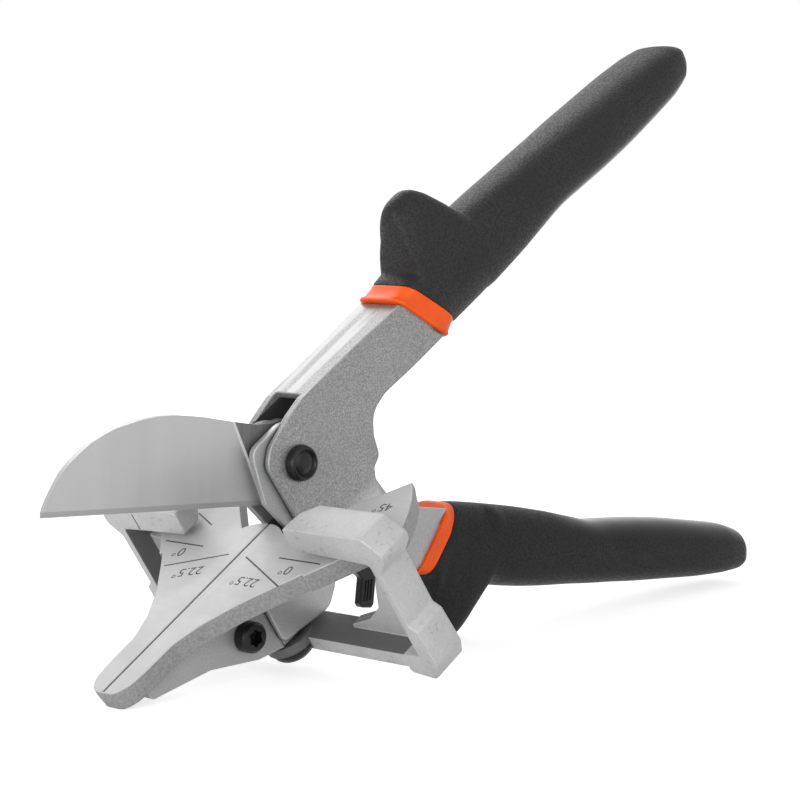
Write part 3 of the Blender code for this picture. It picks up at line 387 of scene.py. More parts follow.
    def bump(self, height: Socket, depth: float, strength: float) -> None:
        """Raise the surface by a height field.

        Args:
            height: The height, 0 to 1.
            depth: Its depth in metres.
            strength: Share of the effect.
        """
        bump = self.node("ShaderNodeBump", Height=height, Distance=depth, Strength=strength)
        if self.normal is not None:
            self.feed(bump.inputs["Normal"], self.normal)
        self.normal = bump.outputs["Normal"]
        self.put("Normal", self.normal)


# Finishes


@dataclass(frozen=True)
class Finish:
    """One finish of the tool. A span is where its mask turns from 0 to 1, or back.

    Attributes:
        name: The material's name.
        slot: The record's slot that it stands for. It is not used.
        colour: Base colour, linear.
        roughness: Base roughness.
        metallic: Metallic share.
        round_edge: Radius that sharp edges seem to have.
    """

    name: str
    slot: Slot
    colour: Colour
    roughness: float
    metallic: float = 0.0
    round_edge: float = 0.15 * MM

    def tint(self, share: float) -> Colour:
        """Return the base colour times a share, at most white."""
        return tinted(self.colour, share)

    def build(self) -> bpy.types.Material:
        """Make the finish's material, once.

        Returns:
            The material.
        """
        found = bpy.data.materials.get(self.name)
        if found is None:
            shading = Shading(self.name, self.colour, self.roughness, self.metallic)
            self.dress(shading)
            found = shading.material
        return found

    def dress(self, shading: Shading) -> None:
        """Add a plain speckled surface to the material."""
        shading.colour(shading.blend(shading.noise(0.8 * MM), self.tint(0.8), self.colour))
        shading.edges(self.round_edge)


@dataclass(frozen=True)
class HammeredPaint(Finish):
    """Silver-grey paint over pressed steel with a fine fleck, painted sheen and highlights, and
    painted shade within the channels.
    """

    fleck: float = 0.42 * MM
    fleck_span: Span = (0.33, 0.67)
    contrast: float = 0.28
    round_edge: float = 0.8 * MM
    soil_span: Span = (0.35, 0.75)
    soil: float = 0.35
    # painted sheen: how much lighter the streaks on the backs are
    streak_sheen: float = 0.15
    streak_span: Span = (0.48, 0.6)
    back_span: Span = (0.5, 0.9)
    # edges made lighter, partly as wear and partly as a painted highlight
    rim: float = 0.7 * MM
    rim_span: Span = (0.3, 0.6)
    worn: float = 1.9
    # painted light: the lower cheeks, below the table, made lighter
    foot_span: Span = (-13 * MM, -8 * MM)
    foot_share: float = 0.55
    foot_light_tone: float = 2.2
    # painted shade within the upper channel: its half width, its top and its tone
    hollow: float = 5.35 * MM
    hollow_top: float = 10.9 * MM
    inside_shade_tone: float = 0.22

    def dress(self, shading: Shading) -> None:
        """Add fleck, lengthwise streaks, worn edges, and painted sheen, edge highlights, foot
        light and channel shade.

        Args:
            shading: The material that is being built.
        """
        fleck = shading.noise(self.fleck, 1.0, roughness=0.6)
        cloud = shading.noise(11 * MM)
        lengthwise = shading.coords((0.07, 1.0, 1.0), PLACE.table())
        streaks = shading.noise(3.2 * MM, 2.0, lengthwise, 0.5)
        tone = shading.blend(shading.spread(fleck, self.fleck_span),
                             self.tint(1 - self.contrast), self.tint(1 + 1.2 * self.contrast))
        soil = shading.spread(cloud, self.soil_span, (0.0, self.soil))
        tone = shading.blend(soil, tone, self.tint(0.8))
        # painted sheen: lighter streaks only on faces turned off the table
        backs = shading.spread(shading.facing(PLACE.off_table()), self.back_span)
        streaks_and_sheen = shading.product(backs, shading.spread(streaks, self.streak_span))
        tone = shading.blend(streaks_and_sheen, tone, self.tint(1 + 2 * self.streak_sheen))
        # lighter edges: partly wear, partly a painted highlight
        worn_and_highlit_rims = shading.product(shading.rim(self.rim),
                               shading.spread(cloud, self.rim_span, (0.45, 1.0)))
        tone = shading.blend(worn_and_highlit_rims, tone, self.tint(self.worn))
        # painted light on the lower cheeks
        foot_light = shading.spread(shading.reach(PLACE.table(), 2), self.foot_span,
                              (self.foot_share, 0.0))
        tone = shading.blend(foot_light, tone, self.tint(self.foot_light_tone))
        # painted shade within the upper channel
        below = shading.spread(shading.reach(PLACE.upper(), 2),
                               (self.hollow_top, self.hollow_top + 0.1 * MM), FALL)
        inside_shade = shading.product(shading.within(PLACE.upper(), 1, self.hollow), below)
        shading.colour(shading.blend(inside_shade, tone, self.tint(self.inside_shade_tone)))
        shading.roughness(shading.spread(streaks_and_sheen, RISE,
                                         (self.roughness + 0.06, self.roughness - 0.06)))
        shading.edges(self.round_edge)
        shading.bump(fleck, 0.04 * MM, 0.4)
        shading.bump(shading.product(backs, streaks), 0.12 * MM, 0.25)


@dataclass(frozen=True)
class CastAlloy(Finish):
    """Pale die-cast alloy: a grained skin, small dark spots, and worn pale edges with painted
    highlights.

    The arms' inner faces, the bar's top and the hub get painted shade.
    """

    pit: float = 0.7 * MM
    pit_span: Span = (0.35, 0.7)
    round_edge: float = 0.9 * MM
    patch_span: Span = (0.4, 0.65)
    spot_span: Span = (0.58, 0.66)
    spotted_span: Span = (0.46, 0.6)
    spots: float = 0.55
    # edges made lighter, partly as wear and partly as a painted highlight
    rim: float = 0.6 * MM
    rim_span: Span = (0.35, 0.6)
    rubbed_and_highlit: float = 1.6
    # painted shade on the arms' inner faces, the bar's top and the hub: its tone, then where it
    # falls
    skin: float = 0.27
    up_span: Span = (0.6, 0.8)
    arm_span: Span = (-32 * MM, -26 * MM)
    bar_span: Span = (-18 * MM, -15 * MM)
    bar_half: float = 42 * MM
    hub: float = 7.2 * MM
    hub_span: Span = (-24 * MM, -23 * MM)

    def dress(self, shading: Shading) -> None:
        """Add grain, spots, worn edges with painted highlights, painted shade and soft corners.

        Args:
            shading: The material that is being built.
        """
        table = PLACE.table()
        fine = shading.noise(self.pit, 4.0, roughness=0.65)
        spot = shading.noise(1.5 * MM, roughness=0.6)
        patch = shading.noise(8 * MM, 2.0)
        tone = shading.blend(shading.spread(fine, self.pit_span), self.tint(0.9), self.tint(1.08))
        tone = shading.blend(shading.spread(patch, self.patch_span, (0.0, 0.5)), tone,
                             self.tint(0.87))
        spotted = shading.product(shading.spread(spot, self.spot_span, (0.0, self.spots)),
                                  shading.spread(patch, self.spotted_span))
        tone = shading.blend(spotted, tone, self.tint(0.5))
        # lighter edges: partly wear, partly a painted highlight
        worn_and_highlit_rims = shading.product(shading.rim(self.rim),
                               shading.spread(spot, self.rim_span, (0.4, 1.0)))
        tone = shading.blend(worn_and_highlit_rims, tone, self.tint(self.rubbed_and_highlit))
        # painted shade on the arms' inner faces, the bar's top and the hub
        inward = shading.product(shading.reach(table, 1), shading.facing(Vector((0, 1, 0))))
        upward = shading.spread(shading.facing(PLACE.off_table()), self.up_span)
        beneath = shading.spread(shading.reach(table, 2), self.bar_span, FALL)
        between = shading.product(beneath, shading.within(table, 1, self.bar_half))
        hub = shading.product(shading.within(table, 0, self.hub),
                              shading.within(table, 1, self.hub))
        low_down = shading.spread(shading.reach(table, 2), self.hub_span, FALL)
        for shaded in (shading.spread(inward, self.arm_span, FALL),
                       shading.product(upward, between), shading.product(hub, low_down)):
            tone = shading.blend(shaded, tone, self.tint(self.skin))
        shading.colour(tone)
        shading.roughness(shading.spread(fine, (0.4, 0.7),
                                         (self.roughness - 0.05, self.roughness + 0.1)))
        shading.edges(self.round_edge)
        shading.bump(fine, 0.09 * MM, 0.35)
        shading.bump(spot, 0.22 * MM, 0.3)


@dataclass(frozen=True)
class FacedAlloy(Finish):
    """The table's alloy: a faced pale top over a rougher, darker casting."""

    side_colour: Colour = (0.29, 0.29, 0.29)
    side_roughness: float = 0.6
    side_span: Span = (0.35, 0.68)
    round_edge: float = 0.4 * MM
    top_span: Span = (-0.3 * MM, -0.12 * MM)
    broad_span: Span = (0.32, 0.7)
    lapped_span: Span = (0.45, 0.75)
    # edges made lighter, partly as wear and partly as a painted highlight
    rim: float = 0.35 * MM
    rim_span: Span = (0.35, 0.6)
    rubbed_and_highlit: float = 1.35

    def dress(self, shading: Shading) -> None:
        """Add the faced top, its lapping marks, the cast sides and the pale edge between them,
        partly wear and partly painted highlight.

        Args:
            shading: The material that is being built.
        """
        table = PLACE.table()
        top = shading.spread(shading.reach(table, 2), self.top_span)
        fine = shading.noise(0.7 * MM, 4.0, roughness=0.65)
        broad = shading.noise(12 * MM)
        lapped = shading.noise(1.2 * MM, vector=shading.coords((1.0, 0.05, 1.0), table))
        faced = shading.blend(shading.spread(broad, self.broad_span), self.colour,
                              self.tint(0.84))
        faced = shading.blend(shading.spread(lapped, self.lapped_span, (0.0, 0.35)), faced,
                              self.tint(0.8))
        sides = shading.blend(shading.spread(fine, self.side_span),
                              tinted(self.side_colour, 1.2), tinted(self.side_colour, 0.74))
        # lighter edges: partly wear, partly a painted highlight
        worn_and_highlit_rims = shading.product(shading.rim(self.rim),
                               shading.spread(fine, self.rim_span, (0.2, 0.9)))
        shading.colour(shading.blend(worn_and_highlit_rims, shading.blend(top, sides, faced),
                                     self.tint(self.rubbed_and_highlit)))
        shading.roughness(shading.spread(top, RISE, (self.side_roughness, self.roughness)))
        shading.edges(self.round_edge)
        depth = shading.spread(top, RISE, (1.0, 0.08))
        shading.bump(shading.product(fine, depth), 0.14 * MM, 0.55)


@dataclass(frozen=True)
class GroundBlade(Finish):
    """Satin ground steel, with the blade's unground root darker behind the grind."""

    root_colour: Colour = (0.12, 0.12, 0.12)
    round_edge: float = 0.12 * MM
    grind_foot: float = 6.0 * MM
    grind_lean: float = 12.1 / 23.4
    edge_drop: float = 11.0 * MM
    honed: float = 1.3 * MM
    honed_tone: float = 0.72
    line_tone: float = 1.5
    ground_span: Span = (-0.12 * MM, 0.05 * MM)
    line_span: Span = (-0.1 * MM, 0.05 * MM)
    line_end_span: Span = (0.25 * MM, 0.4 * MM)
    across_span: Span = (0.35, 0.65)
    cloud_span: Span = (0.35, 0.7)
    hair_span: Span = (0.3, 0.7)

    def dress(self, shading: Shading) -> None:
        """Add grinding marks, the bright line of the grind, the honed edge and the dark root.

        Args:
            shading: The material that is being built.
        """
        blade = PLACE.blade()
        across = shading.noise(7 * MM, vector=shading.coords((1.0, 1.0, 0.12), blade),
                               roughness=0.5)
        cloud = shading.noise(18 * MM)
        hair = shading.noise(0.45 * MM, 2.0, shading.coords((1.0, 1.0, 0.03), blade), 0.5)
        low = self.tint(0.93)
        satin = shading.blend(shading.spread(across, self.across_span, (0.0, 0.6)), low,
                              self.tint(1.05))
        satin = shading.blend(shading.spread(cloud, self.cloud_span, (0.0, 0.5)), satin, low)
        edge = -self.edge_drop
        sharp = shading.spread(shading.reach(blade, 2),
                               (edge + self.honed, edge + 1.15 * self.honed), FALL)
        satin = shading.blend(sharp, satin, self.tint(self.honed_tone))
        lean = Matrix.Rotation(math.atan(self.grind_lean), 4, "Y")
        foot = Matrix.Translation(Vector((self.grind_foot, 0, edge)))
        ahead = shading.reach(blade @ foot @ lean, 0)
        line = shading.product(shading.spread(ahead, self.line_span),
                               shading.spread(ahead, self.line_end_span, FALL))
        root = shading.blend(shading.spread(hair, self.hair_span), self.root_colour,
                             tinted(self.root_colour, 1.5))
        tone = shading.blend(shading.spread(ahead, self.ground_span), root, satin)
        shading.colour(shading.blend(line, tone, self.tint(self.line_tone)))
        shading.roughness(shading.spread(hair, self.hair_span,
                                         (self.roughness - 0.04, self.roughness + 0.06)))
        shading.edges(self.round_edge)
        shading.bump(hair, 0.01 * MM, 0.3)


@dataclass(frozen=True)
class BlackOxide(Finish):
    """Black oxide on fasteners, a little worn."""

    round_edge: float = 0.3 * MM
    specular: float = 0.3
    wear_span: Span = (0.55, 0.75)
    worn: float = 2.6

    def dress(self, shading: Shading) -> None:
        """Add faint wear and a fine grain.

        Args:
            shading: The material that is being built.
        """
        shading.put("Specular IOR Level", self.specular)
        grain = shading.noise(0.7 * MM, 4.0, roughness=0.6)
        shading.colour(shading.blend(shading.spread(grain, self.wear_span), self.colour,
                                     self.tint(self.worn)))
        shading.edges(self.round_edge)
        shading.bump(grain, 0.03 * MM, 0.4)


@dataclass(frozen=True)
class PebbledMoulding(Finish):
    """Soft black moulding with a pebbled skin, smooth and shiny on the palm's inner side."""

    upper: bool = True
    relief: float = 1.0
    specular: float = 0.24
    pebble: float = 0.62 * MM
    pebble_span: Span = (0.3, 0.62)
    cloud_span: Span = (0.35, 0.7)
    inner_span: Span = (0.35, 0.8)
    shine_from: float = 96 * MM
    shine_fade: float = 14 * MM

    def dress(self, shading: Shading) -> None:
        """Add pebbles, faint wear and the shiny inner side.

        Args:
            shading: The material that is being built.
        """
        place = PLACE.upper() if self.upper else PLACE.lower()
        inward = place.to_3x3() @ Vector((0, 0, -1 if self.upper else 1))
        behind = shading.spread(shading.reach(place, 0),
                                (-self.shine_from - self.shine_fade, -self.shine_from), FALL)
        shiny = shading.product(shading.spread(shading.facing(inward), self.inner_span), behind)
        pebbles = shading.pebbles(self.pebble)
        cloud = shading.spread(shading.noise(16 * MM), self.cloud_span)
        tone = shading.blend(cloud, self.colour, self.tint(1.5))
        shading.colour(shading.blend(shading.spread(pebbles, self.pebble_span), tone,
                                     self.tint(0.72)))
        rough = shading.spread(pebbles, (0.0, 0.6),
                               (self.roughness - 0.1, self.roughness + 0.15))
        shading.roughness(shading.product(rough, shading.spread(shiny, RISE, (1.0, 0.35))))
        shading.put("Specular IOR Level", self.specular)
        plain = shading.spread(shiny, RISE, (self.relief, 0.12 * self.relief))
        shading.bump(shading.product(pebbles, plain), 0.12 * MM, 0.6)
        shading.bump(shading.product(shading.noise(0.35 * MM), plain), 0.05 * MM, 0.4)


@dataclass(frozen=True)
class MattMoulding(Finish):
    """Even matt moulding, with a faint grain."""

    round_edge: float = 0.35 * MM
    specular: float = 0.3
    cloud_span: Span = (0.35, 0.7)

    def dress(self, shading: Shading) -> None:
        """Add a faint grain.

        Args:
            shading: The material that is being built.
        """
        shading.put("Specular IOR Level", self.specular)
        cloud = shading.spread(shading.noise(9 * MM, 2.0), self.cloud_span)
        shading.colour(shading.blend(cloud, self.colour, self.tint(0.86)))
        shading.edges(self.round_edge)
        shading.bump(shading.noise(0.5 * MM), 0.03 * MM, 0.4)


@dataclass(frozen=True)
class Ink(Finish):
    """Dark etched marks."""

    faded_span: Span = (0.5, 0.75)
    faded: float = 3.2

    def dress(self, shading: Shading) -> None:
        """Break the marks up a little."""
        grain = shading.spread(shading.noise(0.5 * MM, 2.0), self.faded_span)
        shading.colour(shading.blend(grain, self.colour, self.tint(self.faded)))


PAINT = HammeredPaint("hammered_paint", Slot.PAINT, (0.275, 0.275, 0.277), 0.34, 0.45)
SMOOTH_PAINT = HammeredPaint("smooth_paint", Slot.PAINT, (0.37, 0.37, 0.372), 0.38, 0.4,
                             contrast=0.1, streak_sheen=0.1, foot_share=0.0, hollow=-1 * MM)
CAST = CastAlloy("cast_alloy", Slot.ALLOY, (0.52, 0.52, 0.52), 0.52, 0.2)
TABLE_TOP = FacedAlloy("faced_alloy", Slot.ALLOY, (0.56, 0.56, 0.56), 0.50, 0.1)
BLADE_STEEL = GroundBlade("ground_blade", Slot.GROUND, (0.50, 0.50, 0.50), 0.42, 0.45)
OXIDE = BlackOxide("black_oxide", Slot.BLACK, (0.006, 0.006, 0.006), 0.34)
DARK_STEEL = BlackOxide("dark_steel", Slot.SPRING, (0.05, 0.05, 0.05), 0.36, 0.7)
SPRING_STEEL = Finish("plain_spring_steel", Slot.SPRING, (0.22, 0.22, 0.23), 0.38, 0.9)
BRASS = Finish("turned_brass", Slot.BRASS, (0.55, 0.40, 0.15), 0.36, 1.0)
UPPER_SOFT = PebbledMoulding("pebbled_black_upper", Slot.SOFT, (0.018, 0.018, 0.018), 0.42)
# the same black moulding as the upper grip, set darker in colour as painted shade, with less
# relief and gloss
LOWER_SOFT_SHADED = PebbledMoulding("pebbled_black_lower_shaded", Slot.SOFT, (0.0095, 0.0095, 0.0095), 0.42,
                             upper=False, relief=0.4, specular=0.2)
ORANGE = MattMoulding("orange_moulding", Slot.ORANGE, (1.0, 0.110, 0.004), 0.40)
INK = Ink("etched_mark", Slot.BLACK, (0.035, 0.035, 0.035), 0.6)
# black for the painted shade in the groove and for the block under the blade's heel
GROOVE_BLACK = Ink("groove_painted_shade", Slot.BLACK, (0.008, 0.008, 0.008), 0.7)


# Mesh making


def stand(name: str, data: bpy.types.ID) -> bpy.types.Object:
    """Put an object into the scene.

    Args:
        name: Its name.
        data: Its mesh, curve, light or camera.

    Returns:
        The object.
    """
    thing = bpy.data.objects.new(name, data)
    bpy.context.scene.collection.objects.link(thing)
    return thing


class Maker:
    """Turns mesh data into dressed pieces that ride on a body."""

    weld = 0.0001 * MM
    sides = 64

    @staticmethod
    def mount(piece: bpy.types.Object, finish: Finish, body: Body) -> None:
        """Let a piece ride on its body.

        Args:
            piece: The piece.
            finish: Its finish.
            body: The body that it rides on.
        """
        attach(piece, body.value)
        LOG.info("made %s in %s", piece.name, finish.name)

    @staticmethod
    def place(name: str, mesh_data: bmesh.types.BMesh, finish: Finish, body: Body,
              matrix: Matrix, sharp: float = 32.0) -> bpy.types.Object:
        """Make a piece from mesh data given in a working frame.

        Args:
            name: The piece's name.
            mesh_data: The shape, which is used up.
            finish: Its finish.
            body: The body that it rides on.
            matrix: The working frame.
            sharp: Angle in degrees above which an edge stays sharp.

        Returns:
            The piece.
        """
        bmesh.ops.remove_doubles(mesh_data, verts=mesh_data.verts, dist=Maker.weld)
        bmesh.ops.recalc_face_normals(mesh_data, faces=mesh_data.faces)
        mesh_data.transform(matrix)
        mesh = bpy.data.meshes.new(name)
        mesh_data.to_mesh(mesh)
        mesh_data.free()
        mesh.shade_smooth()
        mesh.set_sharp_from_angle(angle=math.radians(sharp))
        mesh.materials.append(finish.build())
        piece = stand(name, mesh)
        Maker.mount(piece, finish, body)
        return piece

    @staticmethod
    def skin(rings: Sequence[Sequence[Vector]]) -> bmesh.types.BMesh:
        """Skin a row of closed rings of the same count, and close both ends.

        Args:
            rings: The rings' points.

        Returns:
            The mesh data.
        """
        solid = bmesh.new()
        rows = [[solid.verts.new(point) for point in ring] for ring in rings]
        for first, second in zip(rows, rows[1:]):
            for index, corner in enumerate(first):
                following = (index + 1) % len(first)
                solid.faces.new((corner, first[following], second[following], second[index]))
        solid.faces.new(rows[0][::-1])
        solid.faces.new(rows[-1])
        return solid

    @staticmethod
    def block(low: Vector, high: Vector) -> bmesh.types.BMesh:
        """Make a small bar between two corners."""
        ring = ((low.x, low.y), (high.x, low.y), (high.x, high.y), (low.x, high.y))
        return Maker.skin([[Vector((x, y, z)) for x, y in ring] for z in (low.z, high.z)])

    @staticmethod
    def turned(profile: Sequence[Span]) -> bmesh.types.BMesh:
        """Turn (radius, height) points round Y, with both ends closed."""
        turns = [2 * math.pi * index / Maker.sides for index in range(Maker.sides)]
        return Maker.skin([[Vector((radius * math.cos(angle), height, radius * math.sin(angle)))
                            for angle in turns] for radius, height in profile])


class EvenShading:
    """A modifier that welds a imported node's facets and shades its shallow edges smooth."""

    weld = 0.002 * MM
    sharp = math.radians(28.0)

    def __init__(self) -> None:
        """Build the node group."""
        self.group = bpy.data.node_groups.new("even_shading", "GeometryNodeTree")
        for way in ("INPUT", "OUTPUT"):
            self.group.interface.new_socket("Geometry", in_out=way,
                                            socket_type="NodeSocketGeometry")
        tree = Tree(self.group)
        bend = tree.node("GeometryNodeInputMeshEdgeAngle")
        steep = tree.node("FunctionNodeCompare")
        steep.data_type = "FLOAT"
        steep.operation = "GREATER_THAN"
        tree.feed(steep.inputs["A"], bend.outputs["Unsigned Angle"])
        tree.feed(steep.inputs["B"], self.sharp)
        shape = tree.node("NodeGroupInput").outputs[0]
        drop = tree.node("GeometryNodeRemoveAttribute", Geometry=shape, Name="custom_normal")
        weld = tree.node("GeometryNodeMergeByDistance", Geometry=drop.outputs["Geometry"],
                         Distance=self.weld)
        faces = tree.node("GeometryNodeSetShadeSmooth", Geometry=weld.outputs["Geometry"])
        faces.domain = "FACE"
        edges = tree.node("GeometryNodeSetShadeSmooth", Geometry=faces.outputs["Geometry"],
                          Selection=steep.outputs["Result"])
        edges.domain = "EDGE"
        edges.inputs["Shade Smooth"].default_value = False
        tree.node("NodeGroupOutput", edges.outputs["Geometry"])

    def dress(self, node: str, finish: Finish) -> None:
        """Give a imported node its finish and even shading.

        Args:
            node: The node's name.
            finish: Its finish.
        """
        piece = frame["nodes"][node]
        piece.data.materials.clear()
        piece.data.materials.append(finish.build())
        piece.modifiers.new("even_shading", "NODES").node_group = self.group
        LOG.info("dressed %s in %s", node, finish.name)


# Grips


@dataclass
class MouldedGrip:
    """One handle's moulded grip, its thumb horn and its orange collar.

    Attributes:
        side: 1 for the upper handle and -1 for the lower one.
        axis_w: Distance of the grip's axis from the handle's line.
        horn_behind: Where the horn peaks, behind the collar's front.
        collar_steps: Places along the collar and how far it stands out there, in millimetres.
        shares: Shares of the reach, each with the outer, inner and half width shares there.
    """

    prefix: str
    body: Body
    matrix: Matrix
    side: int
    axis_w: float
    collar_at: float
    horn_behind: float
    collar_width: float = 6.4 * MM
    horn_rear_length: float = 12.3 * MM
    shy: float = 0.3 * MM
    shy_rate: float = 2.5
    tuck: float = 0.2 * MM
    tuck_length: float = 0.8 * MM
    slant: float = math.radians(28.0)
    slant_length: float = 42 * MM
    slant_fade: float = 0.8
    run: float = 0.08 * MM
    end: float = 184.4 * MM
    half_width: float = 11.6 * MM
    half_height: float = 11.0 * MM
    square: float = 2.6
    front_square: float = 5.5
    horn_half_length: float = 12.3 * MM
    horn_height: float = 15.9 * MM
    horn_lean: float = 2.2 * MM
    horn_pinch: float = 0.12
    horn_square: float = 2.3
    reach_below: float = 29 * MM
    reach_above: float = 13 * MM
    halvings: int = 22
    close: float = 0.01 * MM
    around: int = 72
    rows: int = 170
    crowding: float = 1.12
    collar_steps: Sequence[Span] = (
        (0.0, -0.5), (0.12, -0.1), (0.5, 0.1), (1.0, 0.1), (1.35, -0.2), (1.8, -0.28),
        (4.6, -0.28), (5.0, -0.1), (5.3, -0.15), (5.5, -0.4),
    )
    shares: Sequence[tuple[float, float, float, float]] = (
        (0.20, 0.73, 1.00, 0.715), (0.28, 0.75, 1.03, 0.72), (0.315, 0.82, 1.05, 0.74),
        (0.36, 0.93, 1.07, 0.79), (0.46, 1.00, 1.04, 0.87), (0.53, 0.98, 0.97, 0.91),
        (0.585, 0.93, 0.88, 0.93), (0.63, 0.90, 0.82, 0.94), (0.68, 0.85, 0.86, 0.96),
        (0.74, 0.80, 0.92, 0.99), (0.81, 0.72, 0.95, 1.00), (0.88, 0.64, 0.93, 0.99),
        (0.94, 0.53, 0.90, 0.94), (0.975, 0.42, 0.80, 0.85), (0.992, 0.28, 0.64, 0.69),
        (1.00, 0.09, 0.40, 0.44),
    )

    def sizes(self, share: float) -> list[float]:
        """Work out the section at a share of the reach.

        Args:
            share: Share of the reach from the pivot to the grip's end.

        Returns:
            The outer, inner and half width shares.
        """
        rows = self.shares
        last = len(rows) - 1
        index = next(i for i in range(last) if share <= rows[i + 1][0] or i == last - 1)
        before, here = rows[max(index - 1, 0)], rows[index]
        following, after = rows[index + 1], rows[min(index + 2, last)]
        t = min(1.0, max(0.0, (share - here[0]) / (following[0] - here[0])))
        return [self.spline(before[k], here[k], following[k], after[k], t) for k in (1, 2, 3)]

    @staticmethod
    def spline(before: float, start: float, end: float, after: float, t: float) -> float:
        """Work out a point of a smooth curve between start and end.

        Args:
            before: The value before the start.
            start: The value at the start.
            end: The value at the end.
            after: The value after the end.
            t: How far the point is along, 0 to 1.

        Returns:
            The curve's value there.
        """
        t2, t3 = t * t, t * t * t
        value = (2 * t3 - 3 * t2 + 1) * start + (3 * t2 - 2 * t3) * end
        return value + (t3 - 2 * t2 + t) * (end - before) / 2 + (t3 - t2) * (after - start) / 2

    def horn(self, u: float) -> float:
        """Work out the thumb horn's rise.

        Args:
            u: Distance behind the pivot.

        Returns:
            The rise there.
        """
        behind = u - self.collar_at - self.horn_behind
        share = abs(behind) / (self.horn_rear_length if behind > 0 else self.horn_half_length)
        return 0.0 if share >= 1 else self.horn_height * (1 - share ** 3) ** 1.4

    def point(self, u: float, angle: float, grow: float) -> Sequence[float]:
        """Work out a point of the squarish section through a place on the axis.

        Args:
            u: Distance behind the pivot.
            angle: Angle round the axis.
            grow: Extra size all round.

        Returns:
            The point's height over the axis, its place across, and its lean forward.
        """
        outer, inner, width = self.sizes(min(1.0, max(self.shares[0][0], u / self.end)))
        rise = self.horn(u)
        fade = (u - self.collar_at) / (self.horn_behind + self.horn_half_length)
        square = self.front_square
        square += (self.square - self.front_square) * min(1.0, max(0.0, fade))
        square += (self.horn_square - square) * min(1.0, 1.6 * rise / self.horn_height)
        across, up = (math.copysign(abs(value) ** (2 / square), value)
                      for value in (math.cos(angle), math.sin(angle)))
        height = (outer if up > 0 else inner) * self.half_height + grow
        height += rise if up > 0 else 0.0
        crest = max(up, 0) * rise / self.horn_height
        y = across * (width * self.half_width + grow) * (1 - self.horn_pinch * crest)
        return up * height, y, self.horn_lean * crest

    def ring(self, station: float, slanted: float, grow: float) -> list[Vector]:
        """Give one ring of the moulding, halving down to where each point meets its slant.

        Args:
            station: Where the ring crosses the grip's axis.
            slanted: Share of the collar's slant that the ring leans by.
            grow: Extra size all round.

        Returns:
            The ring's points in the handle's frame.
        """
        points = []
        rate = math.tan(self.slant) * slanted
        for index in range(self.around):
            angle = 2 * math.pi * index / self.around
            low, high = station - self.reach_below * rate, station + self.reach_above * rate
            for _ in range(self.halvings):
                u = (low + high) / 2
                height, y, lean = self.point(u, angle, grow)
                if u > station - rate * height:
                    high = u
                else:
                    low = u
                if high - low < self.close:
                    break
            points.append(Vector((lean - u, y, self.side * (self.axis_w + height))))
        return points

    def make_collar(self) -> None:
        """Make the collar: a front lip, a band and a rear lip."""
        scale = self.collar_width / self.collar_steps[-1][0]
        rings = [self.ring(self.collar_at + at * scale, 1.0, grow * MM)
                 for at, grow in self.collar_steps]
        piece = Maker.place(self.prefix + "_collar_band", Maker.skin(rings), ORANGE, self.body,
                            self.matrix, 40)
        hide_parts(self.prefix + "_collar")

    def make_grip(self) -> None:
        """Make the grip, leaning with the collar in front and square to its axis behind."""
        front = self.collar_at + self.collar_width + self.run
        rings = []
        for row in range(self.rows + 1):
            t = row / self.rows
            station = front + (self.end - front) * (1 - (1 - t) ** self.crowding)
            behind = station - front
            slanted = max(0.0, 1 - behind / self.slant_length) ** self.slant_fade
            tuck = -self.tuck * max(0.0, 1 - behind / self.tuck_length)
            rings.append(self.ring(station, slanted,
                                   tuck - self.shy * min(1.0, self.shy_rate * t)))
        finish = UPPER_SOFT if self.side > 0 else LOWER_SOFT_SHADED
        piece = Maker.place(self.prefix + "_grip_moulding", Maker.skin(rings), finish,
                            self.body, self.matrix, 50)
        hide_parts(self.prefix + "_grip")

    def build(self) -> None:
        """Make the grip and its collar."""
        self.make_collar()
        self.make_grip()


# Table


